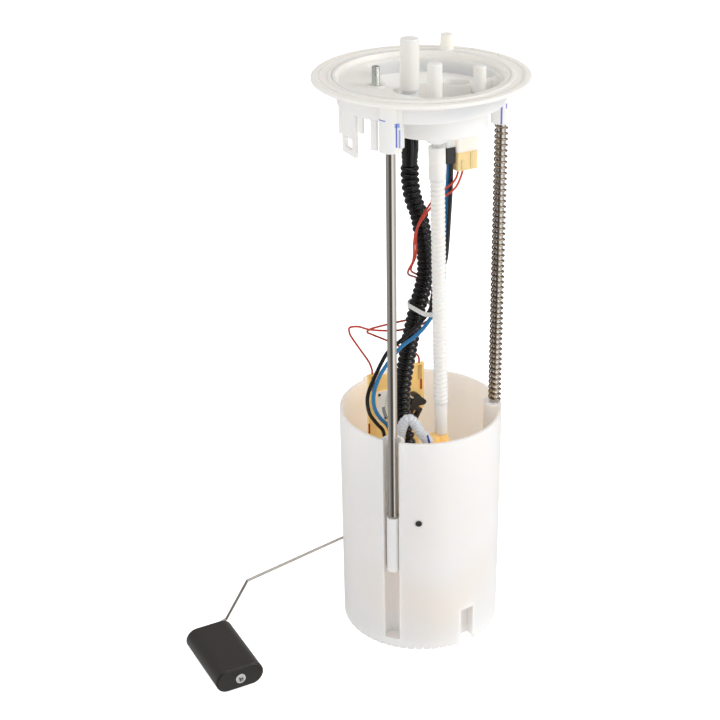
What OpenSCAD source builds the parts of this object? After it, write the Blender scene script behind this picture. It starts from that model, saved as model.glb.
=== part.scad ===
// In-tank fuel module: a tank flange on two guide rods, a swirl cup that holds the
// electric pump and its jet pump, and a float that turns a level sender.
// Origin: centre line of the flange and the cup, on the plane that the cup stands on.

/* [Flange] */
// Outer radius of the flange that clamps on the tank opening
flange_r = 78; // [76:0.5:82]
// Height of the flange top above the foot of the cup
flange_z = 452.5; // [448:0.5:475]
// Thickness of the flange rim
rim_t = 2.8; // [2.4:0.1:3.6]
// Radius of the round skirt just below the rim
spigot_r = 63; // [62.6:0.1:64]
// Length of the straight part of the skirt below the rim
spigot_h = 4.7; // [4:0.1:6]
// Radius of the skirt at its lower edge
skirt_foot_r = 60; // [58:0.5:61]
// Wall of the moulded flange parts
flange_wall = 2.4; // [2:0.1:2.8]
// Radius of the D-shaped recess in the flange
recess_r = 56; // [54:0.5:57]
// Radius of the deep round pocket in the recess
pocket_r = 35; // [33:0.5:36]
// Depth of the pocket floor below the flange top
pocket_depth = 32.5; // [30:0.5:34]

/* [Ports and stud] */
// Radius of the feed spigot under its cap
feed_spigot_r = 4.945; // [4.5:0.005:5.2]
// Radius of the return spigot under its cap
return_spigot_r = 3.945; // [3.6:0.005:4.2]
// Radius of the vent spigot under its cap
vent_spigot_r = 3.15; // [2.8:0.05:3.4]
// Radius of the feed port cap
feed_cap_r = 7.3; // [6.8:0.1:7.8]
// Radius of the return port cap
return_cap_r = 5.7; // [5.4:0.1:6.2]
// Radius of the vent port cap
vent_cap_r = 5; // [4.6:0.1:5.4]
// Radius of the threaded ground stud
stud_r = 3; // [2.5:0.5:3]
// Length of the stud above the flange land
stud_h = 13.9; // [10:0.1:16]

/* [Guide rods] */
// Radius of each steel guide rod
rod_r = 3.5; // [3.3:0.05:3.6]
// Radius of the circle that the rods stand on
rod_circle_r = 58.7; // [58.3:0.1:58.9]
// Bearing of the bare rod around the flange
rod_front_a = -140; // [-143:1:-138]
// Bearing of the rod that carries the spring
rod_rear_a = -20; // [-24:1:-16]
// Running gap around a rod in its guide
rod_gap = 0.06; // [0.03:0.01:0.1]
// Radius of the moulded shoe on the foot of each rod
shoe_r = 5; // [4.8:0.1:5.3]
// Length of each shoe
shoe_h = 49; // [45:1:52]
// Downward travel of the flange on its rods
travel = 60; // [40:1:60]

/* [Coil spring] */
// Radius of the spring wire
spring_wire_r = 0.55; // [0.45:0.05:0.6]
// Radius of the coil to the middle of the wire
spring_coil_r = 4.55; // [4.4:0.05:4.7]
// Number of turns
spring_turns = 52; // [30:1:54]

/* [Swirl cup] */
// Outer radius of the cup at its rim
cup_r = 63.3; // [63.1:0.1:63.8]
// Amount the cup narrows to its foot
cup_taper = 0.4; // [0:0.1:0.8]
// Height of the cup
cup_h = 187; // [184:0.5:190]
// Wall of the cup
cup_wall = 2.2; // [1.8:0.1:2.5]
// Height of the raised part of the rim at the back
rim_step = 3.5; // [2:0.5:5]
// Underside height of the cup floor
floor_z = 6; // [5.5:0.5:6.5]
// Thickness of the cup floor
floor_t = 2.2; // [1.8:0.1:2.4]
// Width of the upright groove for each shoe
groove_w = 12.8; // [12.2:0.1:13.4]
// Number of teeth around the foot of the cup
tooth_count = 60; // [40:1:72]
// Depth of the gaps between the teeth
tooth_h = 1.8; // [1:0.1:2.4]
// Width of the gaps between the teeth
tooth_gap = 1.3; // [0.8:0.1:1.8]
// Height of the drain notch in the foot
notch_h = 32; // [28:1:34]

/* [Pump] */
// Distance of the pump from the cup axis along X
pump_x = -14; // [-15:0.5:-12]
// Distance of the pump from the cup axis along Y
pump_y = 5; // [3:0.5:5]
// Height of the lower end of the pump can
pump_z = 26; // [25:0.5:28]
// Outer radius of the pump can
can_r = 19; // [18.6:0.1:19.1]
// Wall of the pump can
can_wall = 1.2; // [1:0.1:1.4]
// Length of the pump can
can_h = 88; // [86:1:92]
// Radius of the pump shaft
shaft_r = 2; // [1.8:0.1:2.2]
// Radial gap between the shaft and its bushes
shaft_gap = 0.05; // [0.02:0.01:0.08]
// Radius of the armature
armature_r = 13.6; // [13:0.1:13.7]
// Number of armature slots
armature_slots = 8; // [6:1:12]
// Radius of the impeller
impeller_r = 15; // [14.6:0.1:15.1]
// Number of impeller vanes
vane_count = 37; // [25:1:43]

/* [Foot valve] */
// Radius of the foot valve disc
valve_r = 10; // [9.4:0.1:10.5]
// Lift of the foot valve disc
valve_lift = 2; // [1:0.5:2]

/* [Level sender] */
// Radius of the float arm wire
wire_r = 1.1; // [1:0.05:1.15]
// Width of the float
float_w = 39; // [36:0.5:41]
// Thickness of the float
float_t = 19; // [17:0.5:20]
// Length of the float along its wire
float_len = 64; // [56:0.5:66]
// Radial gap between the float and its wire
float_gap = 0.08; // [0.03:0.01:0.1]

/* [Hoses and leads] */
// Outer radius of the feed hose
hose_r = 6.9; // [6.5:0.1:7]
// Outer radius of the return tube
tube_r = 5.4; // [5:0.1:5.6]
// Outer radius of the jet pump hose
jet_hose_r = 4.2; // [4:0.1:4.4]
// Radius of each power lead
power_r = 1.5; // [1.2:0.1:1.6]
// Radius of each sender lead
signal_r = 0.8; // [0.6:0.05:0.9]
// Length of one corrugation of the feed hose
hose_pitch = 4.8; // [4.4:0.1:5.2]
// Depth of the corrugations of the feed hose
hose_ridge_h = 1.5; // [1:0.1:1.7]
// Length of one corrugation of the return tube and the jet hose
ridge_pitch = 3.6; // [3.2:0.1:4.5]
// Depth of the corrugations of the return tube and the jet hose
ridge_h = 0.8; // [0.6:0.1:1]

/* [Hidden] */
$fn = 64;
// Gap between rigid pieces of one body, and between bodies that pass each other
seat_gap = 0.05;
pass_gap = 0.3;

rim_under = flange_z - rim_t;
land_z = flange_z - 4;
recess_z = flange_z - 14.5;
pocket_z = flange_z - pocket_depth;
pocket_foot = pocket_z - 2;
skirt_z = flange_z - 18.5;
socket_foot = flange_z - 38.5;
socket_r = 8;
rod_top = flange_z - 11;
pocket_x = 4.6;
pocket_y = -12.9;

feed_port = [-4.7, 8.3];
feed_port_top = flange_z + 24;
return_port = [-2.4, -23.7];
return_port_top = flange_z + 13.5;
vent_port = [35, -22];
vent_port_top = flange_z + 6;
stud_pos = [-35.4, 1.2];
stud_neck_r = stud_r + 0.8;
stud_seat = land_z + 0.8;
stud_top = land_z + stud_h;
post_pos = [47.8, 46.9];
post_h = 11.5;
shroud_pos = [29, -2];
shroud_turn = -30;
signal_plug = [25, -18];
signal_plug_size = [14.4, 10.4];
power_plug = [12.4, -18];
power_plug_size = [7, 8];
terminal_r = 0.5;
plug_pins = [[12.4, -16], [12.4, -20], [22.5, -18], [27.5, -18]];
shroud_pins = [for (d = [-5, -1.7, 1.7, 5])
    [shroud_pos[0] + d * cos(shroud_turn), shroud_pos[1] + d * sin(shroud_turn)]];

cup_foot_r = cup_r - cup_taper;
// The wall ends a little above the guide blocks
rim_z = cup_h + 0.6;
step_in = cup_r - cup_wall + 0.3;
step_out = cup_r - 0.3;
floor_top = floor_z + floor_t;
groove_floor = floor_top;
// Room left under the shoes when the flange is all the way down
shoe_room = 2.8;
shoe_z = groove_floor + travel + shoe_room;
rod_foot = shoe_z + 5;
stop_z = shoe_z + shoe_h + pass_gap;
peg_z = 118.4;
peg_a = -120.3;
peg_x = cup_r * cos(peg_a);
peg_y = cup_r * sin(peg_a);
valve_pos = [24, -12];
notch_a = -82.6;
notch_w = 12.4;

bore_r = can_r - can_wall - seat_gap;
can_top = pump_z + can_h;
inlet_cover_z = pump_z + 1.05;
chamber_z = inlet_cover_z + 6.4;
plate_z = chamber_z + 3.7;
plate_top = plate_z + 5;
shaft_z = inlet_cover_z + 1.2;
shaft_top = can_top - 6;
cover_z = can_top - 16;
armature_z = pump_z + 24;
armature_h = 36;
commutator_z = armature_z + armature_h + 4;
carrier_in = can_r + 2;
carrier_out = carrier_in + 2;
carrier_z = pump_z + 4;
carrier_top = can_top + 4;
board_y = 28;
board_t = 3;
board_top = 206;
card_t = 0.8;
wiper_y = board_y - card_t - pass_gap;
arm_y = 33;
pivot_x = 7;
pivot_z = 179;
hub_r = 3.5;
knee_a = [-50, 64];
knee_b = [-140, 49];
knee_c = [-160, 18.5];
float_x = -177.6;
float_z = 13.3;
float_y = -36;
tie_z = 272;

manifold_z = 122;
manifold_top = 150;
outlet_pos = [pump_x, pump_y - 8];
regulator_pos = [-31, -23];
regulator_z = 112;
jet_pos = [1.7, -30];
jet_inlet = [-13.9, -36.8];
block_v = jet_pos - jet_inlet;
jet_x = -5.5;
jet_y = -31;
jet_block_z = 158;
jet_block_top = 170;
tube_foot = jet_block_top + 7;
tube_sleeve_r = 6.2;
tube_top = flange_z - 44.5;
tube_top_pos = [-4, -30];
hose_foot = manifold_top + 2 + seat_gap;
cuff_z = flange_z - 69.5;

feed_route = [
    [-4.7, 8.3, cuff_z], [-4.7, 8.3, cuff_z - 4], [-4.7, 8.3, cuff_z - 8], [-4, 7, 363],
    [-2, 6, 354], [1, 5, 345], [3, 4, 333],
    [5, 3, 319], [6, 3, 309], [6, 3, 298], [4, 4, 285], [1, 5.5, 272], [-2, 6, 259],
    [-5, 7, 244], [-8, 8, 225], [-11, 8, 208], [-13, 7, 192], [-14.3, 3, 176],
    [outlet_pos[0], outlet_pos[1], hose_foot + 11], [outlet_pos[0], outlet_pos[1], hose_foot + 6],
    [outlet_pos[0], outlet_pos[1], hose_foot]];
black_route = [
    [13.4, -20.5, 389.9], [13.4, -20.5, 382], [13.6, -20, 372], [13.4, -19.5, 360],
    [12.9, -19, 346], [12.3, -18.5, 330], [11.2, -17.5, 314], [8.5, -15.5, 306], [6.8, -13.2, 299],
    [5.6, -10.6, 290], [4.6, -9, 281], [3.4, -8.4, 272], [-3, -7, 263.5], [-11, -6, 256.5],
    [-21, -4.5, 249], [-30, -3, 242], [-36, -2.5, 232.9], [-42, -2, 221], [-46.2, -1.5, 211],
    [-47, -1, 202], [-44.9, -1, 191.5], [-38.3, 0, 180.8], [-32, 3, 172.5], [-29, 5.5, 163],
    [-28.5, 6, 154], [-28.5, 6, 149], [-28.5, 6, 145.1]];
blue_route = [
    [13, -17, 389.9], [13, -17, 382], [12.9, -16.3, 372], [12.4, -15.8, 360], [11.8, -15.2, 346],
    [11.4, -14.6, 330], [11.2, -13.8, 314], [12.2, -13.6, 306], [11.8, -14.8, 299], [9.6, -15.4, 290],
    [6.6, -14.3, 281], [3.4, -12.8, 270], [-4, -11.4, 259.5], [-12, -10.3, 253], [-21, -9, 247.5],
    [-27.4, -8, 241], [-33, -7, 234], [-38.6, -6.5, 226], [-43, -6, 215], [-44.2, -5.5, 206],
    [-42.2, -5, 196], [-37, -4, 187], [-31, -2, 179.5], [-27, 0, 171], [-25.5, 1, 161],
    [-25.5, 1, 154], [-25.5, 1, 149], [-25.5, 1, 145.1]];
signal_route_a = [
    [19.5, -20, 383.3], [17, -22.5, 380], [13, -23.8, 376.2], [8.5, -21, 371.5], [4, -14.5, 364],
    [-1, -9.5, 353], [-5.6, -6.5, 342], [-7, -5, 331], [-6, -4, 322], [-5, -0.5, 313],
    [-5.2, 5, 304], [-1.5, 11.5, 297], [6, 15, 291], [11.5, 12.5, 285], [12.8, 5, 279.5],
    [8.6, -2.5, 275.5], [8, -3.4, 272], [8.2, -3, 268.5], [10, 4, 261], [6, 14, 255.5],
    [-4, 17.5, 254.2],
    [-12, 18, 254], [-23, 18, 254], [-33, 19, 253],
    [-35, 21, 250], [-30, 23, 246], [-15, 25.5, 236], [2, 27, 224], [12, 28.5, 217],
    [15, 29.5, 212], [15, 29.5, 208.3]];
signal_route_b = [
    [23.5, -20, 383.3], [20.5, -22.3, 379], [15, -25.3, 373.5], [9.5, -24, 368.5], [3, -17, 361],
    [-3, -11.5, 350], [-8.2, -8.5, 339], [-9.6, -7, 329], [-8.8, -5.5, 320], [-7.4, -1, 310.5],
    [-7.8, 5, 301.5], [-3, 13, 294], [6, 17.3, 288], [13.5, 14, 282.5], [15.3, 4.5, 277.8],
    [8, -6.4, 275.2], [7, -5.9, 272], [7.2, -5.4, 268.5], [8.5, 2, 258.5], [5, 12.5, 249.5],
    [-3, 16.5, 247.5],
    [-11, 16.5, 247.8], [-20, 15.5, 250], [-29, 15, 252.5],
    [-37, 15.5, 255], [-44, 17.5, 258], [-50, 20.5, 257.5], [-49, 23.5, 252], [-46, 25.5, 246],
    [-38, 27.5, 233], [-30, 29, 220], [-27, 29.5, 212], [-27, 29.5, 208.3]];
jet_route = [
    [-31, -23, 162.1], [-31, -23, 166], [-31, -23, 170], [-30.4, -23, 181], [-28, -24, 190],
    [-24.4, -25.5, 193.6], [-21, -28, 190.6], [-17.8, -32.3, 183.5], [-14.5, -36, 178.5],
    [-13.9, -36.8, 176.3], [-13.9, -36.8, 174.1]];

function unit(v) = v / norm(v);
// Smooth curve through the given points, with n steps between two of them
function knot(p, i) = p[max(0, min(len(p) - 1, i))];
function blend_at(a, b, c, d, t) =
    0.5 * (2 * b + (c - a) * t + (2 * a - 5 * b + 4 * c - d) * t * t
    + (3 * b - a - 3 * c + d) * t * t * t);
function smooth(p, n) = concat(
    [for (i = [0:len(p) - 2]) for (k = [0:n - 1])
        blend_at(knot(p, i - 1), p[i], p[i + 1], knot(p, i + 2), k / n)],
    [p[len(p) - 1]]);
// Running length along a line of points
function run_length(p) =
    [for (i = 0, s = 0; i < len(p); i = i + 1, s = i < len(p) ? s + norm(p[i] - p[i - 1]) : s) s];
function column(p, s, k) = [for (i = [0:len(p) - 1]) [s[i], p[i][k]]];
// The same curve cut into n equal steps
function even(p, n) =
    let (s = run_length(p), total = s[len(s) - 1],
        px = column(p, s, 0), py = column(p, s, 1), pz = column(p, s, 2))
    [for (i = [0:n]) let (d = total * i / n) [lookup(d, px), lookup(d, py), lookup(d, pz)]];
function route_length(p) = let (s = run_length(smooth(p, 6))) s[len(s) - 1];
// One ring of points around a path, square to it; side is a direction that the path never takes
function ring(c, t, r, sides, side) =
    let (u = unit(cross(side, t)), v = cross(t, u))
    [for (k = [0:sides - 1]) c + r * (cos(360 * k / sides) * u + sin(360 * k / sides) * v)];

// A closed tube swept along a path, with one radius for each point
module sweep(path, radii, sides, side = [0, 1, 0]) {
    n = len(path);
    points = [for (i = [0:n - 1])
        each ring(path[i], unit(path[min(n - 1, i + 1)] - path[max(0, i - 1)]), radii[i], sides, side)];
    walls = [for (i = [0:n - 2]) for (k = [0:sides - 1]) let (m = (k + 1) % sides)
        each [[i * sides + k, (i + 1) * sides + k, i * sides + m],
            [i * sides + m, (i + 1) * sides + k, (i + 1) * sides + m]]];
    foot = [[for (k = [0:sides - 1]) k]];
    head = [[for (k = [0:sides - 1]) n * sides - 1 - k]];
    polyhedron(points = points, faces = concat(foot, walls, head), convexity = 8);
}

module lead(route, r) {
    path = even(smooth(route, 6), ceil(route_length(route) / 7));
    sweep(path, [for (p = path) r], 8);
}

module bellows_hose(route, r, pitch, depth) {
    rings = 2 * round(route_length(route) / pitch);
    path = even(smooth(route, 6), rings);
    sweep(path, [for (i = [0:rings]) r - depth * (i % 2)], 12);
}

module around(r, a) {
    rotate(a)
        translate([r, 0, 0])
            children();
}

module at(p, z = 0) {
    translate([p[0], p[1], z])
        children();
}

module tube(r_out, r_in, h) {
    difference() {
        cylinder(r = r_out, h = h);
        translate([0, 0, -1])
            cylinder(r = r_in, h = h + 2);
    }
}

// Two circles joined by their tangents, along +X
module link_2d(d, r1, r2) {
    a = acos((r1 - r2) / d);
    circle(r = r1);
    translate([d, 0])
        circle(r = r2);
    polygon([[r1 * cos(a), r1 * sin(a)], [d + r2 * cos(a), r2 * sin(a)],
        [d + r2 * cos(a), -r2 * sin(a)], [r1 * cos(a), -r1 * sin(a)]]);
}

// Plate with rounded corners, centred
module rounded_2d(w, d, r) {
    square([w - 2 * r, d], center = true);
    square([w, d - 2 * r], center = true);
    for (x = [-1, 1])
        for (y = [-1, 1])
            translate([x * (w / 2 - r), y * (d / 2 - r)])
                circle(r = r);
}

// Outline of the recess, open to the right of a land that carries the stud
module recess_2d(grow) {
    intersection() {
        circle(r = recess_r + grow);
        polygon([[-14 - grow, 62], [70, 62], [70, -62], [-9 - grow, -62], [-31 - grow, -24],
            [-31.5 - grow, -19]]);
    }
}

module flange_body() {
    rotate_extrude()
        polygon([[0, land_z - 2.8], [spigot_r - flange_wall, land_z - 2.8],
            [skirt_foot_r - flange_wall, skirt_z], [skirt_foot_r, skirt_z],
            [spigot_r - 1, rim_under - spigot_h - 0.8], [spigot_r, rim_under - spigot_h],
            [spigot_r, rim_under], [flange_r - 0.6, rim_under], [flange_r, rim_under + 0.6],
            [flange_r, flange_z - 0.6], [flange_r - 0.6, flange_z], [73.4, flange_z],
            [72.8, flange_z - 0.7], [66.8, flange_z - 0.7], [66.2, flange_z], [60.6, flange_z],
            [59.2, land_z + 1], [58.2, land_z], [0, land_z]]);
    translate([0, 0, recess_z - 2.4])
        linear_extrude(land_z - recess_z)
            recess_2d(flange_wall - 0.2);
    at([pocket_x, pocket_y], pocket_foot)
        cylinder(r = pocket_r + flange_wall, h = recess_z - pocket_foot);
    at(stud_pos, land_z - 9)
        cylinder(r = 7, h = stud_seat - land_z + 9);
}

// Socket under the flange that holds the top of one rod
module rod_socket(a) {
    around(rod_circle_r, a)
        translate([0, 0, socket_foot]) {
            cylinder(r = socket_r, h = land_z - 2 - socket_foot);
            translate([-13, -2, 8])
                cube([13, 4, land_z - 10 - socket_foot]);
            translate([-2, 5, 3])
                cube([6, 4.5, land_z - 5 - socket_foot]);
        }
}

// Loop and fins that hang from the skirt and guide the leads on the tank side
module skirt_hooks() {
    around(57, 180)
        translate([0, 0, flange_z - 50]) {
            difference() {
                translate([-1.2, -10, 0])
                    cube([2.4, 20, 34]);
                translate([-5, -5.5, 4.5])
                    cube([10, 11, 7.5]);
            }
        }
    around(57.5, 158)
        translate([-3, -1, flange_z - 41])
            cube([4.5, 2, 26]);
    around(58.4, -152.5)
        translate([-1, -2.5, flange_z - 40])
            cube([2, 5, 25]);
    around(58.4, -164)
        translate([-1, -2.2, flange_z - 30])
            cube([2, 4.4, 15]);
}

module port_spigot(p, r, top) {
    at(p, pocket_foot)
        cylinder(r = r, h = top - 4 - pocket_foot);
    at(p, pocket_foot)
        cylinder(r = r + 2, h = recess_z - 1 - pocket_foot);
}

module flange_plate() {
    color("whitesmoke")
        difference() {
            union() {
                difference() {
                    flange_body();
                    translate([0, 0, recess_z])
                        linear_extrude(30)
                            recess_2d(0);
                    at([pocket_x, pocket_y], pocket_z)
                        cylinder(r = pocket_r, h = 40);
                }
                rod_socket(rod_front_a);
                rod_socket(rod_rear_a);
                skirt_hooks();
                port_spigot(feed_port, feed_spigot_r, feed_port_top);
                port_spigot(return_port, return_spigot_r, return_port_top);
                port_spigot(vent_port, vent_spigot_r, vent_port_top);
                at(post_pos, flange_z - 1)
                    cylinder(r1 = 5.1, r2 = 4.5, h = post_h + 1);
                at(shroud_pos, pocket_foot)
                    linear_extrude(flange_z - 10 - pocket_foot)
                        rotate(shroud_turn)
                            rounded_2d(20, 15, 6);
                at(feed_port, cuff_z + 16)
                    cylinder(r = feed_spigot_r - 1, h = pocket_foot - cuff_z - 15);
                at(tube_top_pos, tube_top + 4)
                    cylinder(r1 = 7.5, r2 = 9, h = pocket_foot - tube_top - 3);
                at(tube_top_pos, tube_top - 8)
                    cylinder(r = 3.4, h = 13);
                at(signal_plug, pocket_foot - 20)
                    linear_extrude(21)
                        rounded_2d(signal_plug_size[0] + 3.2, signal_plug_size[1] + 3.2, 1.5);
                at(power_plug, pocket_foot - 16)
                    translate([-power_plug_size[0] / 2, -power_plug_size[1] / 2, 0])
                        cube([power_plug_size[0], power_plug_size[1], 17]);
            }
            for (a = [rod_front_a, rod_rear_a])
                around(rod_circle_r, a)
                    translate([0, 0, socket_foot - 1])
                        cylinder(r = rod_r + seat_gap, h = rod_top + 0.2 - socket_foot + 1);
            at(stud_pos, land_z - 10)
                cylinder(r = stud_neck_r + seat_gap, h = 12);
            at(stud_pos, land_z - 10)
                cylinder(r = stud_r + 2.5 + seat_gap, h = 4 + seat_gap);
            at(feed_port, cuff_z)
                cylinder(r = feed_spigot_r - 2.2, h = feed_port_top);
            at(return_port, pocket_foot - 2)
                cylinder(r = return_spigot_r - 1.2, h = return_port_top);
            at(vent_port, pocket_foot - 2)
                cylinder(r = vent_spigot_r - 1.1, h = vent_port_top);
            at(tube_top_pos, tube_top - 20)
                cylinder(r = 2.2, h = pocket_z - tube_top + 19);
            at(shroud_pos, pocket_z + 3)
                linear_extrude(30)
                    rotate(shroud_turn)
                        rounded_2d(17, 12, 4.5);
            at(signal_plug, pocket_foot - 22)
                linear_extrude(18)
                    rounded_2d(signal_plug_size[0] + 0.2, signal_plug_size[1] + 0.2, 0.8);
            terminals(seat_gap);
        }
}

// Four cranked pins: up from the two inner plugs, along inside the pocket floor, up in the shroud
module terminals(grow) {
    bar_z = pocket_foot + 1;
    r = terminal_r + grow;
    for (i = [0:3]) {
        a = plug_pins[i];
        v = shroud_pins[i] - a;
        at(a, pocket_foot - 7 - grow)
            cylinder(r = r, h = 8 + grow);
        at(shroud_pins[i], bar_z)
            cylinder(r = r, h = 11 + grow);
        at(a, bar_z)
            rotate([0, 90, atan2(v[1], v[0])])
                cylinder(r = r, h = norm(v));
        at(a, bar_z)
            sphere(r = r + 0.01);
        at(shroud_pins[i], bar_z)
            sphere(r = r + 0.01);
    }
}

module flange_terminals() {
    color("gold")
        terminals(0);
}

module port_cap(p, r, spigot, top, h) {
    at(p, top - h)
        difference() {
            union() {
                cylinder(r1 = r, r2 = r - 0.3, h = h - 0.8);
                translate([0, 0, h - 0.8])
                    cylinder(r1 = r - 0.3, r2 = r - 1, h = 0.8);
            }
            translate([0, 0, -1])
                cylinder(r = spigot + seat_gap, h = h - 2);
        }
}

module feed_port_cap() {
    color("white")
        port_cap(feed_port, feed_cap_r, feed_spigot_r, feed_port_top, 37);
}

module return_port_cap() {
    color("white")
        port_cap(return_port, return_cap_r, return_spigot_r, return_port_top, 26);
}

module vent_port_cap() {
    color("white")
        port_cap(vent_port, vent_cap_r, vent_spigot_r, vent_port_top, 19);
}

module ground_stud() {
    color("silver")
        at(stud_pos) {
            translate([0, 0, land_z - 10])
                cylinder(r = stud_r + 2.5, h = 4);
            translate([0, 0, land_z - 7])
                cylinder(r = stud_neck_r, h = stud_seat - land_z + 7);
            translate([0, 0, land_z - 7])
                cylinder(r = stud_r, h = stud_top - land_z + 6.2);
            translate([0, 0, stud_top - 0.8])
                cylinder(r1 = stud_r, r2 = stud_r - 0.8, h = 0.8);
        }
}

module guide_rod(a) {
    around(rod_circle_r, a)
        translate([0, 0, rod_foot])
            cylinder(r = rod_r, h = rod_top - rod_foot);
}

module front_guide_rod() {
    color("silver")
        guide_rod(rod_front_a);
}

module rear_guide_rod() {
    color("silver")
        guide_rod(rod_rear_a);
}

// A shoe is pressed on the foot of each rod, its wider back slides in the round of the groove
module rod_shoes() {
    color("ivory")
        for (a = [rod_front_a, rod_rear_a])
            around(rod_circle_r, a)
                translate([0, 0, shoe_z])
                    difference() {
                        union() {
                            cylinder(r1 = shoe_r - 0.6, r2 = shoe_r, h = 1.2);
                            translate([0, 0, 1.2])
                                cylinder(r = shoe_r, h = shoe_h - 1.2);
                            translate([0, 0, 2])
                                linear_extrude(shoe_h - 4)
                                    intersection() {
                                        circle(r = groove_w / 2 - pass_gap);
                                        translate([-12, -10])
                                            square([10, 20]);
                                    }
                        }
                        translate([0, 0, rod_foot - shoe_z])
                            cylinder(r = rod_r + seat_gap, h = shoe_h);
                    }
}

// The spring stands on the cup's guide block and pushes the rod socket up
module coil_spring() {
    z0 = rim_z + spring_wire_r + seat_gap;
    z1 = socket_foot - spring_wire_r - seat_gap;
    steps = 10;
    n = spring_turns * steps;
    x0 = rod_circle_r * cos(rod_rear_a);
    y0 = rod_circle_r * sin(rod_rear_a);
    path = [for (i = [0:n]) [x0 + spring_coil_r * cos(360 * i / steps),
        y0 + spring_coil_r * sin(360 * i / steps), z0 + (z1 - z0) * i / n]];
    color("dimgray")
        sweep(path, [for (p = path) spring_wire_r], 6, [0, 0, 1]);
}

module cup_outer() {
    cylinder(r1 = cup_foot_r, r2 = cup_r, h = rim_z);
}

module groove_2d(grow) {
    translate([rod_circle_r, 0])
        circle(r = groove_w / 2 + grow);
    translate([rod_circle_r, -groove_w / 2 - grow])
        square([12, groove_w + 2 * grow]);
}

module reservoir_cup() {
    color("white")
        difference() {
            union() {
                rotate_extrude()
                    polygon([[cup_foot_r - cup_wall, 0], [cup_foot_r, 0], [cup_r, rim_z],
                        [cup_r - cup_wall, rim_z]]);
                rotate(72)
                    rotate_extrude(angle = 36)
                        polygon([[step_in, cup_h - 2], [step_out, cup_h - 2],
                            [step_out, cup_h + rim_step], [step_in, cup_h + rim_step]]);
                translate([0, 0, floor_z])
                    cylinder(r = cup_foot_r - 1, h = floor_t);
                cylinder(r = 6, h = floor_z + 1);
                intersection() {
                    union() {
                        for (a = [rod_front_a, rod_rear_a])
                            rotate(a)
                                translate([0, 0, floor_z])
                                    linear_extrude(cup_h - floor_z)
                                        groove_2d(cup_wall);
                        rotate(notch_a)
                            translate([cup_foot_r - 10, -notch_w / 2 - cup_wall, 2])
                                cube([14, notch_w + 2 * cup_wall, notch_h + cup_wall]);
                    }
                    cup_outer();
                }
                at(valve_pos, floor_z)
                    tube(valve_r + 3, valve_r + 1, 7);
                at([jet_x, jet_y], floor_z)
                    tube(9.2, 7.2, 8);
            }
            rotate(rod_front_a)
                translate([0, 0, groove_floor])
                    linear_extrude(cup_h)
                        groove_2d(0);
            rotate(rod_rear_a)
                translate([0, 0, groove_floor])
                    linear_extrude(stop_z - groove_floor)
                        groove_2d(0);
            around(rod_circle_r, rod_rear_a)
                translate([0, 0, floor_top])
                    cylinder(r = rod_r + rod_gap, h = cup_h);
            rotate(notch_a)
                translate([cup_foot_r - 8, -notch_w / 2, -1])
                    cube([20, notch_w, notch_h + 1]);
            translate([-80, arm_y - 2.5, 50])
                cube([50, 5, 132]);
            rotate(peg_a)
                translate([cup_r - 6, 0, peg_z])
                    rotate([0, 90, 0])
                        cylinder(r = 2.5 + seat_gap, h = 12);
            at(valve_pos, floor_z - 1)
                difference() {
                    cylinder(r = valve_r - 2, h = floor_t + 2);
                    cylinder(r = 4, h = floor_t + 2);
                    for (a = [0, 90])
                        rotate(a)
                            translate([-valve_r, -1, 0])
                                cube([2 * valve_r, 2, floor_t + 2]);
                }
            at(valve_pos, floor_z - 1)
                cylinder(r = 2 + rod_gap, h = floor_t + 2);
            translate([0, 0, -1])
                linear_extrude(tooth_h + 1)
                    for (i = [0:tooth_count - 1])
                        rotate(360 * (i + 0.5) / tooth_count)
                            translate([cup_foot_r - 8, -tooth_gap / 2])
                                square([10, tooth_gap]);
        }
}

// Free disc that lets fuel rise into the cup and closes when the tank runs low
module foot_valve_disc() {
    color("dimgray")
        at(valve_pos, floor_top + seat_gap) {
            cylinder(r = valve_r, h = 1.2);
            translate([0, 0, -floor_t - 0.5 - valve_lift])
                cylinder(r = 2, h = floor_t + 1 + valve_lift);
            translate([0, 0, -floor_t - 1.5 - valve_lift])
                cylinder(r = 2.6, h = 1.2);
        }
}

// Dark peg that pins an arm of the jet pump through the cup wall
module side_peg() {
    color("dimgray")
        rotate(peg_a)
            translate([cup_r - 7, 0, peg_z])
                rotate([0, 90, 0])
                    cylinder(r = 2.5, h = 7);
}

module at_pump(z = 0) {
    translate([pump_x, pump_y, z])
        children();
}

// Amber cradle around the pump, on three legs
module pump_carrier() {
    color("orange")
        difference() {
            union() {
                at_pump(carrier_z)
                    cylinder(r = carrier_out, h = carrier_top - carrier_z);
                at_pump(carrier_z)
                    cylinder(r = carrier_out + 1.5, h = 3);
                at_pump(carrier_top - 3)
                    cylinder(r = carrier_out + 1.5, h = 3);
                for (a = [60, 180, 300])
                    at_pump(floor_top)
                        rotate(a)
                            translate([carrier_out + 1, 0, 0])
                                cylinder(r = 3, h = carrier_z - floor_top + 3);
                translate([-20, board_y - 6, 60])
                    cube([14, 6, carrier_top - 60]);
            }
            at_pump(carrier_z - 1)
                cylinder(r = carrier_in, h = carrier_top);
            translate([-50, board_y, 0])
                cube([80, 10, 150]);
            for (a = [150, 210, 330, 30])
                at_pump(carrier_z + 14)
                    rotate(a)
                        translate([carrier_in - 4, -7, 0])
                            cube([12, 14, 48]);
        }
}

// Two rubber rings keep the pump's hum out of the carrier
module pump_isolators() {
    color("black")
        for (z = [carrier_z + 3, carrier_top - 16])
            at_pump(z)
                tube(carrier_in - seat_gap, can_r + seat_gap, 8);
}

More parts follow.
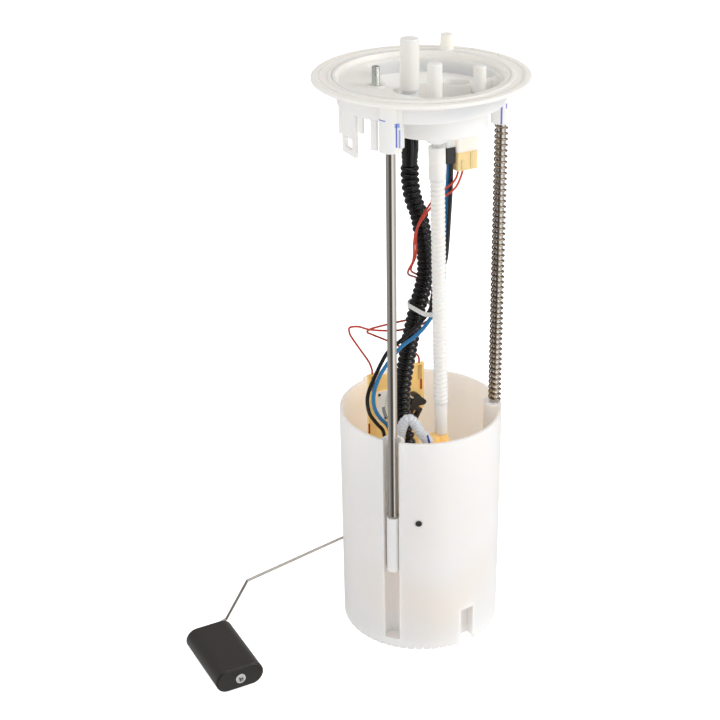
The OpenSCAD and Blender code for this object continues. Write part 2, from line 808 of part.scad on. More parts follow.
module pump_can() {
    color("silver")
        at_pump(pump_z)
            rotate_extrude()
                polygon([[can_r - 3, 0], [can_r - 0.6, 0], [can_r, 0.6], [can_r, can_h - 0.6],
                    [can_r - 0.6, can_h], [can_r - 3, can_h], [can_r - 3, can_h - 1],
                    [can_r - can_wall, can_h - 1], [can_r - can_wall, 1], [can_r - 3, 1]]);
}

// Lower cover: the strainer pushes on its inlet, and its face carries half the side channel
module pump_inlet_cover() {
    color("dimgray")
        at_pump(inlet_cover_z)
            difference() {
                union() {
                    cylinder(r = bore_r, h = 6.3);
                    translate([-9, 0, -11])
                        cylinder(r = 4.5, h = 12);
                }
                translate([-9, 0, -12])
                    cylinder(r = 3, h = 20);
                translate([0, 0, 0.9])
                    cylinder(r = shaft_r + shaft_gap, h = 6);
                translate([0, 0, 5])
                    rotate(200)
                        rotate_extrude(angle = 300)
                            translate([impeller_r - 3, 0])
                                square([2.4, 2]);
            }
}

module pump_chamber_plate() {
    color("gray")
        at_pump(chamber_z)
            difference() {
                cylinder(r = bore_r, h = plate_top - chamber_z);
                translate([0, 0, -1])
                    cylinder(r = impeller_r + 0.3, h = plate_z - chamber_z + 1);
                cylinder(r = 4 + seat_gap, h = 20);
                rotate(160)
                    translate([impeller_r - 1.8, 0, 0])
                        cylinder(r = 1.6, h = 20);
            }
}

module impeller() {
    color("peru")
        at_pump(chamber_z + 0.25)
            difference() {
                cylinder(r = impeller_r, h = 3.2);
                translate([0, 0, -1])
                    cylinder(r = shaft_r + 0.02, h = 6);
                translate([0, 0, -1])
                    linear_extrude(6)
                        for (i = [0:vane_count - 1])
                            rotate(360 * i / vane_count)
                                translate([impeller_r - 2.6, -0.5])
                                    square([1.8, 1]);
            }
}

module shaft_bushes() {
    color("goldenrod")
        for (z = [plate_z, cover_z + 5])
            at_pump(z)
                tube(4, shaft_r + shaft_gap, 5);
}

module pump_shaft() {
    color("silver")
        at_pump(shaft_z)
            cylinder(r = shaft_r, h = shaft_top - shaft_z);
}

module pump_armature() {
    color("slategray")
        at_pump(armature_z)
            linear_extrude(armature_h)
                difference() {
                    circle(r = armature_r);
                    circle(r = shaft_r + 0.02);
                    for (i = [0:armature_slots - 1])
                        rotate(360 * i / armature_slots) {
                            translate([armature_r - 2.5, -0.6])
                                square([4, 1.2]);
                            translate([armature_r - 4.6, 0])
                                circle(r = 2.3);
                        }
                }
}

module armature_windings() {
    color("chocolate")
        for (z = [armature_z - 4, armature_z + armature_h])
            at_pump(z)
                rotate_extrude()
                    polygon([[4, 0.6], [4.6, 0], [11.4, 0], [12, 0.6], [12, 3.4], [11.4, 4],
                        [4.6, 4], [4, 3.4]]);
}

module commutator() {
    color("dimgray")
        at_pump(commutator_z)
            difference() {
                cylinder(r = 9, h = 4);
                translate([0, 0, -1])
                    cylinder(r = shaft_r + 0.02, h = 6);
                translate([0, 0, 2.5])
                    linear_extrude(3)
                        for (i = [0:armature_slots - 1])
                            rotate(360 * i / armature_slots)
                                translate([3.5, -0.3])
                                    square([7, 0.6]);
            }
}

module pump_magnets() {
    color("darkslategray")
        for (a = [20, 200])
            at_pump(armature_z - 2)
                rotate(a)
                    rotate_extrude(angle = 140)
                        translate([armature_r + 0.5, 0])
                            square([bore_r - armature_r - 0.5, armature_h + 4]);
}

module brushes() {
    color("black")
        for (x = [-6.2, 6.2])
            at_pump(commutator_z + 4.15)
                translate([x - 2.2, -2.5, 0])
                    cube([4.4, 5, 7]);
}

module brush_springs() {
    color("goldenrod")
        for (x = [-6.2, 6.2])
            at_pump(commutator_z + 11.2)
                translate([x, 0, 0])
                    tube(1.8, 1.2, 5);
}

// Top cover: it holds the brushes, the upper bush, the outlet and the two tabs
module pump_outlet_cover() {
    color("dimgray")
        at_pump()
            difference() {
                union() {
                    translate([0, 0, cover_z])
                        cylinder(r = bore_r, h = can_top - 1.05 - cover_z);
                    translate([0, 0, cover_z])
                        cylinder(r = can_r - 3.1, h = can_top + 2 - cover_z);
                    translate([0, -8, can_top])
                        cylinder(r = 4.2, h = 15);
                    for (x = [-12, -9])
                        translate([x - 1.1, x == -12 ? 0 : -5, can_top])
                            cube([2.2, 2.2, 3.5]);
                }
                translate([0, 0, cover_z - 1])
                    cylinder(r = shaft_r + 0.6, h = 7);
                translate([0, 0, cover_z + 5])
                    cylinder(r = 4 + seat_gap, h = 6);
                for (x = [-6.2, 6.2])
                    translate([x - 2.3, -2.6, cover_z - 1])
                        cube([4.6, 5.2, commutator_z + 16.3 - cover_z + 1]);
                translate([0, -8, cover_z - 1])
                    cylinder(r = 2.2, h = 40);
                translate([0, -8, can_top + 9])
                    cylinder(r = 3 + seat_gap, h = 10);
            }
}

// Poppet that keeps pressure in the feed line when the pump stops
module outlet_check_valve() {
    color("firebrick")
        at(outlet_pos, can_top + 9 + seat_gap) {
            cylinder(r1 = 2.4, r2 = 2.9, h = 1);
            translate([0, 0, 1])
                cylinder(r = 1, h = 4);
        }
}

// Elbow block on the pump outlet: up to the feed hose, across to the pressure regulator
module outlet_manifold() {
    dx = regulator_pos[0] - outlet_pos[0];
    dy = regulator_pos[1] - outlet_pos[1];
    span = norm([dx, dy]);
    color("black")
        difference() {
            union() {
                at(outlet_pos, manifold_z)
                    cylinder(r = 6.5, h = manifold_top - manifold_z);
                at(outlet_pos, manifold_top - 1)
                    cylinder(r = 5, h = 3);
                at(outlet_pos, manifold_top - 12)
                    rotate(atan2(dy, dx))
                        rotate([0, 90, 0])
                            cylinder(r = 4, h = span);
                at(regulator_pos, regulator_z + 12)
                    cylinder(r = 9.5, h = manifold_top - 6 - regulator_z - 12);
            }
            at(outlet_pos, manifold_z - 1)
                cylinder(r = 4.2 + seat_gap, h = can_top + 15.2 - manifold_z + 1);
            at(outlet_pos, manifold_z - 1)
                cylinder(r = 2.6, h = 50);
            at(outlet_pos, manifold_top - 12)
                rotate(atan2(dy, dx))
                    rotate([0, 90, 0])
                        cylinder(r = 2, h = span - 2);
            at(regulator_pos, regulator_z)
                cylinder(r = 7.5 + seat_gap, h = 24);
            at(regulator_pos, regulator_z)
                cylinder(r = 3.4 + seat_gap, h = 50);
        }
}

module pressure_regulator() {
    color("silver")
        at(regulator_pos) {
            translate([0, 0, regulator_z + 4])
                cylinder(r1 = 6.5, r2 = 7.5, h = 1.5);
            translate([0, 0, regulator_z + 5.5])
                cylinder(r = 7.5, h = 18);
            translate([0, 0, regulator_z + 5])
                cylinder(r = 3.4, h = 162 - 12 - regulator_z);
        }
}

// Short nipple on the regulator that the jet pump hose is pushed on
module jet_hose_nipple() {
    color("goldenrod")
        at(regulator_pos, 155.1)
            cylinder(r1 = 4.4, r2 = 3.6, h = 162 - 155.2);
}

module jet_hose() {
    color("lightsteelblue")
        bellows_hose(jet_route, jet_hose_r, ridge_pitch, ridge_h);
}

// Amber jet pump: the return tube and the jet hose plug in on top, the mixing tube stands on the floor
module jet_pump_body() {
    color("orange")
        difference() {
            union() {
                at(jet_inlet, jet_block_z)
                    linear_extrude(jet_block_top - jet_block_z)
                        rotate(atan2(block_v[1], block_v[0]))
                            link_2d(norm(block_v), 7.2, 7.2);
                at(jet_pos, jet_block_top - 1)
                    cylinder(r = 3.4, h = 17);
                at(jet_pos, jet_block_top - 1)
                    cylinder(r = 5.2, h = tube_foot - jet_block_top + 0.9);
                at([jet_x, jet_y], jet_block_top - 1)
                    cylinder(r = 4.6, h = 8);
                at(jet_inlet, jet_block_top - 1)
                    cylinder(r1 = 5.2, r2 = 4, h = 5);
                at([jet_x, jet_y], floor_top + seat_gap)
                    cylinder(r = 7, h = jet_block_z - floor_top + 2);
                intersection() {
                    translate([jet_x, jet_y, peg_z - 4.5])
                        rotate(atan2(peg_y - jet_y, peg_x - jet_x))
                            translate([0, -4, 0])
                                cube([40, 8, 9]);
                    cylinder(r = cup_foot_r - cup_wall - pass_gap + 0.2, h = peg_z + 20);
                }
            }
            rotate(peg_a)
                translate([cup_r - 7.2, 0, peg_z])
                    rotate([0, 90, 0])
                        cylinder(r = 2.5 + seat_gap, h = 12);
            at([jet_x, jet_y], floor_top - 1)
                cylinder(r = 4.6, h = jet_block_z + 6 - floor_top);
            at(jet_pos, jet_block_z + 4)
                cylinder(r = 2.2, h = 30);
            translate([jet_x, jet_y, jet_block_z + 6])
                rotate([0, 90, 0])
                    cylinder(r = 2, h = jet_pos[0] - jet_x);
            at([jet_x, jet_y + 7], floor_top + 6)
                rotate([90, 0, 0])
                    cylinder(r = 3, h = 14);
        }
}

// Nozzle pressed in the top of the mixing tube
module jet_nozzle() {
    color("tan")
        at([jet_x, jet_y], jet_block_z - 12)
            difference() {
                union() {
                    cylinder(r1 = 1.6, r2 = 3, h = 9);
                    translate([0, 0, 9])
                        cylinder(r = 4.6 - seat_gap, h = 4);
                }
                translate([0, 0, -1])
                    cylinder(r = 0.8, h = 20);
            }
}

// Fine mesh bag under the pump inlet
module inlet_strainer() {
    color("linen")
        translate([pump_x - 2, pump_y, floor_top + 1])
            difference() {
                union() {
                    linear_extrude(5)
                        rounded_2d(35, 30, 8);
                    translate([-7, 0, 4])
                        cylinder(r = 6.2, h = 7);
                }
                translate([-7, 0, 5.6])
                    cylinder(r = 4.5 + seat_gap, h = 10);
            }
}

// Amber board that stands beside the pump and carries the sender
module sender_board() {
    color("orange")
        difference() {
            translate([0, board_y + board_t, 0])
                rotate([90, 0, 0])
                    linear_extrude(board_t)
                        difference() {
                            polygon([[-24, 60], [-2, 60], [-2, 112], [14, 128], [14, 166], [19, 168],
                                [19, board_top - 8], [19, board_top + 2], [11, board_top + 2],
                                [11, board_top - 5], [4, board_top - 5], [4, board_top - 1],
                                [-20, board_top - 1], [-20, board_top + 2], [-31, board_top + 2],
                                [-31, 128], [-24, 112]]);
                            translate([-14, 136])
                                rounded_2d(22, 12, 3);
                            translate([-14, 92])
                                rounded_2d(8, 20, 3);
                        }
            translate([pivot_x, board_y - 1, pivot_z])
                rotate([-90, 0, 0])
                    cylinder(r = hub_r + rod_gap, h = board_t + 2);
        }
}

module resistor_card() {
    color("white")
        translate([-14, board_y, pivot_z])
            rotate([90, 0, 0])
                linear_extrude(card_t)
                    square([20, 26], center = true);
}

module sender_terminals() {
    color("silver")
        for (x = [-27, 15])
            translate([x - 1.5, board_y - 0.65, board_top - 12])
                cube([3, 0.6, 13]);
}

// Puts children in the frame of the float arm, with the wire running down -Z from the pivot
module in_arm_frame() {
    a = atan2(pivot_x - knee_a[0], pivot_z - knee_a[1]);
    translate([pivot_x, 0, pivot_z])
        rotate([0, a, 0])
            children();
}

// Black rocker: its hub runs in the board, the back clip holds the wire, the front arm the contacts
module wiper_carrier() {
    color("black")
        difference() {
            union() {
                translate([pivot_x, wiper_y - 6, pivot_z])
                    rotate([-90, 0, 0])
                        cylinder(r = hub_r, h = board_y + board_t + 2 - wiper_y + 6);
                translate([pivot_x, wiper_y, pivot_z])
                    rotate([90, 30, 0])
                        linear_extrude(4.6)
                            union() {
                                circle(r = 6.5);
                                rotate(180)
                                    link_2d(19, 5, 2.6);
                                rotate(10)
                                    link_2d(9, 5, 2.4);
                                translate([2, -13])
                                    difference() {
                                        square([9, 9]);
                                        translate([2, 2])
                                            square([4.6, 4]);
                                    }
                            }
                in_arm_frame()
                    translate([0, board_y + board_t + pass_gap, 0])
                        rotate([-90, 0, 0])
                            linear_extrude(3.6)
                                union() {
                                    circle(r = 6);
                                    translate([-3, -6])
                                        square([6, 22]);
                                }
            }
            in_arm_frame()
                translate([0, arm_y, -30])
                    cylinder(r = wire_r + seat_gap, h = 60);
            translate([pivot_x, 0, pivot_z])
                rotate([0, -30, 0])
                    translate([-23, wiper_y - 0.4, -3])
                        cube([13, 2, 6]);
        }
}

module wiper_contact() {
    color("silver")
        translate([pivot_x, 0, pivot_z])
            rotate([0, -30, 0])
                for (z = [-2.2, 0.6])
                    translate([-21, wiper_y - 0.4, z])
                        cube([10, 0.5, 1.6]);
}

module wire_between(a, b) {
    v = b - a;
    translate(a)
        rotate([0, acos(v[2] / norm(v)), atan2(v[1], v[0])])
            cylinder(r = wire_r, h = norm(v), $fn = 32);
}

module wire_bend(p) {
    translate(p)
        sphere(r = wire_r + 0.02, $fn = 32);
}

module float_arm() {
    head = [pivot_x + 3.1, arm_y, pivot_z + 6.3];
    tail = [float_x, float_y - 3, float_z];
    bends = [[knee_a[0], arm_y, knee_a[1]], [knee_b[0], arm_y, knee_b[1]],
        [knee_c[0], arm_y, knee_c[1]], [float_x, arm_y, float_z]];
    points = concat([head], bends, [tail]);
    color("silver") {
        for (i = [0:len(points) - 2])
            wire_between(points[i], points[i + 1]);
        for (p = bends)
            wire_bend(p);
    }
}

module float() {
    color("black")
        translate([float_x, float_y, float_z])
            rotate([-90, 0, 0])
                difference() {
                    union() {
                        translate([0, 0, 1])
                            linear_extrude(float_len - 2)
                                float_2d(0);
                        linear_extrude(float_len)
                            float_2d(0.8);
                    }
                    translate([0, 0, -1])
                        cylinder(r = wire_r + float_gap, h = float_len + 2);
                }
}

module float_2d(inset) {
    translate([-(float_w - float_t) / 2, 0])
        link_2d(float_w - float_t, float_t / 2 - inset, float_t / 2 - inset);
}

// Push-on clip that keeps the float on its wire
module float_clip() {
    color("silver")
        translate([float_x, float_y - pass_gap, float_z])
            rotate([90, 0, 0])
                difference() {
                    union() {
                        cylinder(r = 4, h = 0.7);
                        cylinder(r = 2, h = 2);
                    }
                    translate([0, 0, -1])
                        cylinder(r = wire_r + 0.02, h = 4);
                }
}

module feed_hose() {
    color("black")
        bellows_hose(feed_route, hose_r, hose_pitch, hose_ridge_h);
}

// Smooth end of the feed hose, pushed over the spigot under the flange
module feed_hose_cuff() {
    color("black")
        at(feed_port, cuff_z + seat_gap)
            difference() {
                union() {
                    cylinder(r1 = 6.1, r2 = 6.6, h = 6);
                    translate([0, 0, 6])
                        cylinder(r = 6.6, h = pocket_foot - cuff_z - 6.2);
                }
                translate([0, 0, 15.8])
                    cylinder(r = feed_spigot_r - 1 + seat_gap, h = 40);
            }
}

module return_tube() {
    lean = atan2(jet_pos[0] - tube_top_pos[0], tube_top - tube_foot);
    length = norm([jet_pos[0] - tube_top_pos[0], tube_top - tube_foot]);
    ridges = floor((length - 54) / ridge_pitch);
    pitch = (length - 54) / ridges;
    outline = [for (i = [0:ridges]) each [[tube_r - ridge_h, 28 + pitch * i],
        i < ridges ? [tube_r, 28 + pitch * (i + 0.5)] : [tube_r - ridge_h, 28.5 + pitch * i]]];
    color("white")
        translate([jet_pos[0], jet_pos[1], tube_foot])
            rotate([0, -lean, 0])
                rotate_extrude()
                    polygon(concat([[3.8, 0.4], [4.8, 0.4], [4.8, 27]], outline,
                        [[tube_sleeve_r, length - 24], [tube_sleeve_r, length], [3.8, length]]));
}

// Nylon strap that gathers the hose and the leads
module cable_tie() {
    x = [1, 3];
    y = [5.5, -10];
    d = norm([x[1] - x[0], y[1] - y[0]]);
    color("white")
        translate([x[0], y[0], tie_z - 2])
            rotate(atan2(y[1] - y[0], x[1] - x[0])) {
                linear_extrude(4)
                    difference() {
                        link_2d(d, hose_r + 1.5, hose_r + 1.5);
                        link_2d(d, hose_r + 0.6, hose_r + 0.6);
                    }
                translate([d + hose_r + 0.9, -2.5, -0.5])
                    cube([4, 5, 5]);
            }
}

module signal_connector() {
    color("orange")
        at(signal_plug, pocket_foot - 34) {
            translate([0, 0, 13])
                linear_extrude(11)
                    rounded_2d(signal_plug_size[0], signal_plug_size[1], 0.8);
            linear_extrude(14 - seat_gap)
                rounded_2d(signal_plug_size[0] + 2.6, signal_plug_size[1] + 2.6, 1.2);
        }
}

module power_connector() {
    color("black")
        at(power_plug, pocket_foot - 28)
            translate([-power_plug_size[0] / 2, -power_plug_size[1] / 2, 0])
                cube([power_plug_size[0], power_plug_size[1], 12 - seat_gap]);
}

module pump_plug() {
    color("black")
        translate([-31, -2, can_top + 6])
            cube([8, 11, 25]);
}

module power_lead_black() {
    color("black")
        lead(black_route, power_r);
}

module power_lead_blue() {
    color("royalblue")
        lead(blue_route, power_r);
}

module signal_lead_a() {
    color("firebrick")
        lead(signal_route_a, signal_r);
}

module signal_lead_b() {
    color("firebrick")
        lead(signal_route_b, signal_r);
}

reservoir_cup();
foot_valve_disc();
side_peg();
pump_carrier();
pump_isolators();
pump_can();
pump_inlet_cover();
pump_chamber_plate();
impeller();
shaft_bushes();
pump_shaft();
pump_armature();
armature_windings();
commutator();
pump_magnets();
brushes();
brush_springs();
pump_outlet_cover();
outlet_check_valve();
outlet_manifold();
pressure_regulator();
jet_hose_nipple();
jet_hose();
jet_pump_body();
jet_nozzle();
inlet_strainer();
sender_board();
resistor_card();
sender_terminals();
wiper_carrier();
wiper_contact();
float_arm();
float();
float_clip();
flange_plate();
flange_terminals();
feed_port_cap();
return_port_cap();
vent_port_cap();
ground_stud();
front_guide_rod();
rear_guide_rod();
rod_shoes();
coil_spring();
feed_hose();
feed_hose_cuff();
return_tube();
cable_tie();
signal_connector();
power_connector();
pump_plug();
power_lead_black();
power_lead_blue();
signal_lead_a();
signal_lead_b();
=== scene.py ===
import math
import bpy
from mathutils import Matrix, Vector


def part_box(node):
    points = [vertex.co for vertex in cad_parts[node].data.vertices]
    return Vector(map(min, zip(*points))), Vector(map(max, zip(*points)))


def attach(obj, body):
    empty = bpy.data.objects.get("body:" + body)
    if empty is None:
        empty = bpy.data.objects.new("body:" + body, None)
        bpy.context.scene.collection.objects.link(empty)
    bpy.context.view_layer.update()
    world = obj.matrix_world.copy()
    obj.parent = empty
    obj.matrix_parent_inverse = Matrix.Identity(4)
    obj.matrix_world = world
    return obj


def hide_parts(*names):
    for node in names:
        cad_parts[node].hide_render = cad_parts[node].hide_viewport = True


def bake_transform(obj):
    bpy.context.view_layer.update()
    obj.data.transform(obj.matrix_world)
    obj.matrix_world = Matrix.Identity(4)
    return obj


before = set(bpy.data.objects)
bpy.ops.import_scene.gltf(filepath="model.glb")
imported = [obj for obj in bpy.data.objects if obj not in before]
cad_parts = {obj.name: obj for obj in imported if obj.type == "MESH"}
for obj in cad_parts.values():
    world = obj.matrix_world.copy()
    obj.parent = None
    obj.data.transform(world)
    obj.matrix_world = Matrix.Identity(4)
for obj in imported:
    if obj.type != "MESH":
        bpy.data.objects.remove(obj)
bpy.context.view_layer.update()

# View and studio: the camera stands where the picture was taken from, on a pale floor
# under soft light from the right and from above. The backdrop shows white, and glossy
# faces mirror a ring of reflectors that stands round the object.
MM = 0.001
picture_width, focal_length = 720, 1556.35  # both in pixels
sensor_width = 36.0
camera_place = (-0.5242, -0.9369, 0.7595)
camera_axes = [(0.88944, -0.45679, -0.01562), (0.21539, 0.38877, 0.89580),
               (-0.40312, -0.80012, 0.44418)]
camera_right, camera_near = (0.889, -0.457, 0), (-0.457, -0.889, 0)

lens = bpy.data.cameras.new("camera")
lens.sensor_width = sensor_width
lens.lens = focal_length / picture_width * sensor_width
lens.clip_end = 50.0
camera = bpy.data.objects.new("camera", lens)
bpy.context.collection.objects.link(camera)
camera.matrix_world = (Matrix.Translation(camera_place)
                       @ Matrix(camera_axes).transposed().to_4x4())
bpy.context.scene.camera = camera
bpy.context.scene.view_settings.view_transform = "Standard"


def put(tree, kind, feeds=(), **settings):
    """Adds one node, with its settings, and links or fills its inputs."""
    node = tree.nodes.new(kind)
    for key, value in settings.items():
        setattr(node, key, value)
    for key, value in dict(feeds).items():
        if isinstance(value, bpy.types.NodeSocket):
            tree.links.new(value, node.inputs[key])
        else:
            node.inputs[key].default_value = value
    return node


def maths(tree, operation, first, second=None):
    """The result of one Math node."""
    feeds = {0: first} if second is None else {0: first, 1: second}
    return put(tree, "ShaderNodeMath", feeds, operation=operation).outputs[0]


def vector_maths(tree, operation, first, second=None):
    """The result of one Vector Math node, a number or a vector."""
    feeds = {0: first} if second is None else {0: first, 1: second}
    node = put(tree, "ShaderNodeVectorMath", feeds, operation=operation)
    is_number = operation in ("DOT_PRODUCT", "DISTANCE", "LENGTH")
    return node.outputs["Value" if is_number else "Vector"]


def spread(tree, value, start, end, low=0.0, high=1.0, **settings):
    """Maps the range from start to end onto the range from low to high."""
    feeds = {"Value": value, "From Min": start, "From Max": end, "To Min": low, "To Max": high}
    return put(tree, "ShaderNodeMapRange", feeds, **settings).outputs["Result"]


def split(tree, vector):
    """The X, Y and Z of a vector."""
    return put(tree, "ShaderNodeSeparateXYZ", {0: vector}).outputs


def new_piece(name, points, faces, finish=None, edges=()):
    """An object from points in metres."""
    mesh = bpy.data.meshes.new(name)
    mesh.from_pydata([tuple(p) for p in points], list(edges), faces)
    if finish:
        mesh.materials.append(finish)
    piece = bpy.data.objects.new(name, mesh)
    bpy.context.collection.objects.link(piece)
    return piece


def soft_lamp(name, place, width, power, tint):
    """A round lamp that faces the middle of the part."""
    disk = bpy.data.lights.new(name, "AREA")
    disk.shape = "DISK"
    disk.size = width
    disk.energy = power
    disk.color = tint
    lamp = bpy.data.objects.new(name, disk)
    bpy.context.collection.objects.link(lamp)
    lamp.location = place
    towards = Vector((0, 0, 0.25)) - Vector(place)
    lamp.rotation_euler = towards.to_track_quat("-Z", "Y").to_euler()


def reflectors(tree, way):
    """What glossy faces see: dark behind the camera, bright right of it, grey elsewhere."""
    right = vector_maths(tree, "DOT_PRODUCT", way, camera_right)
    near = vector_maths(tree, "DOT_PRODUCT", way, camera_near)
    share = spread(tree, maths(tree, "ARCTAN2", right, near), -math.pi, math.pi)
    ramp = put(tree, "ShaderNodeValToRGB", {"Fac": share})
    stops = ramp.color_ramp.elements
    stops[0].color = stops[1].color = (0.25, 0.25, 0.25, 1)
    for degrees, level in ((-75, 0.26), (-45, 0.20), (-32, 0.06), (8, 0.06), (24, 0.80),
                           (52, 0.80), (72, 0.46), (108, 0.42), (130, 0.22)):
        stops.new((degrees + 180) / 360).color = (level, level, level, 1)
    reflector_gain = 1.7
    return maths(tree, "MULTIPLY", ramp.outputs["Color"], reflector_gain)


soft_lamp("lamp_right", (1.5, -1.3, 1.7), 1.4, 20.0, (1.0, 0.99, 0.97))
soft_lamp("lamp_top", (-0.3, 0.5, 2.2), 1.6, 3.0, (1.0, 0.98, 0.95))

# the world: a warm light that is strongest at eye level, reflectors and a white backdrop
light_low, light_high, mirror_share = 1.35, 0.42, 0.7
room = bpy.data.worlds.new("room")
bpy.context.scene.world = room
room.use_nodes = True
sky = room.node_tree
sky.nodes.clear()
ray = put(sky, "ShaderNodeLightPath").outputs
way = put(sky, "ShaderNodeTexCoord").outputs["Generated"]
mirrored = maths(sky, "MULTIPLY", reflectors(sky, way), mirror_share)
fall = spread(sky, split(sky, way)["Z"], 0.0, 0.9, light_low, light_high)
clear = maths(sky, "MAXIMUM", ray["Is Camera Ray"], ray["Is Transmission Ray"])
lit = put(sky, "ShaderNodeBackground", {"Color": (1.0, 0.985, 0.97, 1), "Strength": fall})
shiny = put(sky, "ShaderNodeBackground", {"Color": (1.0, 0.98, 0.96, 1), "Strength": mirrored})
white = put(sky, "ShaderNodeBackground", {"Color": (1, 1, 1, 1), "Strength": 1.0})
room_side = put(sky, "ShaderNodeMixShader",
                {0: ray["Is Glossy Ray"], 1: lit.outputs[0], 2: shiny.outputs[0]})
backdrop = put(sky, "ShaderNodeMixShader", {0: clear, 1: room_side.outputs[0], 2: white.outputs[0]})
put(sky, "ShaderNodeOutputWorld", {"Surface": backdrop.outputs[0]})

# the floor: white to the camera, a pale bounce for the part, reflectors for glossy faces
floor_span, floor_level = 9, -0.0004
bounce_glow, shown_glow, floor_white = 0.30, 0.85, 0.80
paint = bpy.data.materials.new("floor paint")
paint.use_nodes = True
coat = paint.node_tree
coat.nodes.clear()
ray = put(coat, "ShaderNodeLightPath").outputs
spot = put(coat, "ShaderNodeTexCoord").outputs["Object"]
lift = spread(coat, ray["Is Camera Ray"], 0.0, 1.0, bounce_glow, shown_glow)
lift = put(coat, "ShaderNodeMix",
           {0: ray["Is Glossy Ray"], 2: lift, 3: reflectors(coat, spot)}).outputs[0]
tone = spread(coat, ray["Is Glossy Ray"], 0.0, 1.0, floor_white, 0.0)
matt = put(coat, "ShaderNodeBsdfDiffuse", {"Color": tone})
glow = put(coat, "ShaderNodeEmission", {"Color": (1, 1, 1, 1), "Strength": lift})
both = put(coat, "ShaderNodeAddShader", {0: matt.outputs[0], 1: glow.outputs[0]})
put(coat, "ShaderNodeOutputMaterial", {"Surface": both.outputs[0]})
corners = [(x * floor_span, y * floor_span, floor_level)
           for x, y in ((-1, -1), (1, -1), (1, 1), (-1, 1))]
floor = new_piece("floor", corners, [(0, 1, 2, 3)], paint)


# Swirl cup: one thin moulding of white acetal that lets light through, with teeth around
# its foot, a groove for each rod and a slot for the float arm. Round the amber cradle
# inside, the lower wall gets a painted warm glow for its light that comes through.
def clear_skin(name):
    """A new material, its tree, its shader and the object coordinates."""
    finish = bpy.data.materials.new(name)
    finish.use_nodes = True
    tree = finish.node_tree
    place = put(tree, "ShaderNodeTexCoord").outputs["Object"]
    return finish, tree, tree.nodes["Principled BSDF"], place


def skin_parts(finish):
    """The tree of a finish, its shader and its object coordinates."""
    tree = finish.node_tree
    place = next(n for n in tree.nodes if n.bl_idname == "ShaderNodeTexCoord").outputs["Object"]
    return tree, tree.nodes["Principled BSDF"], place


def noise(tree, place, scale, detail):
    """Soft noise from 0 to 1."""
    feeds = {"Vector": place, "Scale": scale, "Detail": detail}
    return put(tree, "ShaderNodeTexNoise", feeds).outputs["Fac"]


def darker(colour, share):
    """A colour with a share of its light taken away."""
    return tuple(c * (1 - share) for c in colour)


def blend_colour(tree, share, under, over):
    """Mixes two colours or sockets by a share from 0 to 1."""
    feeds = {0: share, 6: under if not isinstance(under, tuple) else (*under, 1),
             7: over if not isinstance(over, tuple) else (*over, 1)}
    return put(tree, "ShaderNodeMix", feeds, data_type="RGBA").outputs[2]


def base_of(skin):
    """The socket that feeds a shader's colour."""
    return skin.inputs["Base Color"].links[0].from_socket


def in_relief(tree, skin, height, strength, distance, edge=0.0):
    """Gives a shader fine relief, and edges that look rounded."""
    feeds = {"Strength": strength, "Distance": distance, "Height": height}
    relief = put(tree, "ShaderNodeBump", feeds)
    if edge:
        rounded = put(tree, "ShaderNodeBevel", {"Radius": edge}, samples=4)
        tree.links.new(rounded.outputs["Normal"], relief.inputs["Normal"])
    tree.links.new(relief.outputs["Normal"], skin.inputs["Normal"])


def moulded(name, colour, roughness, cloud=0.05, grain=700.0, depth=0.12, edge=0.0005, deep=0.0,
            glow=0.0):
    """Moulded plastic: flow clouds, fine grain, soft edges and a glow for light from behind."""
    finish, tree, skin, place = clear_skin(name)
    cloud_scale, grain_height = 22.0, 0.0002
    drift = noise(tree, place, cloud_scale, 4.0)
    base = blend_colour(tree, drift, darker(colour, cloud), colour)
    tree.links.new(base, skin.inputs["Base Color"])
    rough = spread(tree, drift, 0.3, 0.7, roughness - 0.05, roughness + 0.06)
    tree.links.new(rough, skin.inputs["Roughness"])
    in_relief(tree, skin, noise(tree, place, grain, 2.0), depth, grain_height, edge)
    if deep:
        skin.inputs["Subsurface Weight"].default_value = deep
        skin.inputs["Subsurface Radius"].default_value = (1.0, 0.85, 0.7)
        skin.inputs["Subsurface Scale"].default_value = 0.008
    skin.inputs["Emission Color"].default_value = (*colour, 1)
    skin.inputs["Emission Strength"].default_value = glow
    return finish


def dress(finish, *nodes):
    """Gives CAD nodes their finish."""
    for node in nodes:
        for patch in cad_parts[node].material_slots:
            patch.material = finish


def paint_glow_tint(finish, tint, spots):
    """A painted glow: a soft tint round some points, each a place, a reach and a share."""
    tree, skin, place = skin_parts(finish)
    base, full_within = base_of(skin), 0.004
    for spot, reach, share in spots:
        away = vector_maths(tree, "DISTANCE", place, spot)
        warm = spread(tree, away, full_within, reach, share, 0.0, interpolation_type="SMOOTHSTEP")
        base = blend_colour(tree, warm, base, tint)
    tree.links.new(base, skin.inputs["Base Color"])


def shone_through(skin, share, tint):
    """Lets a shader glow by a share, for light that comes through a thin wall."""
    skin.id_data.links.new(share, skin.inputs["Emission Strength"])
    skin.inputs["Emission Color"].default_value = (*tint, 1)


cup_skin = moulded("cup acetal", (0.92, 0.90, 0.88), 0.40, cloud=0.03, deep=0.8)
# painted glow: a warm tint round the amber cradle, for its light that comes through the wall
painted_amber_glow_spots = [((-0.014, -0.060, 0.036), 0.046, 0.30), ((-0.052, -0.036, 0.050), 0.046, 0.20),
                ((0.020, -0.058, 0.060), 0.036, 0.18)]
paint_glow_tint(cup_skin, (0.90, 0.66, 0.46), painted_amber_glow_spots)
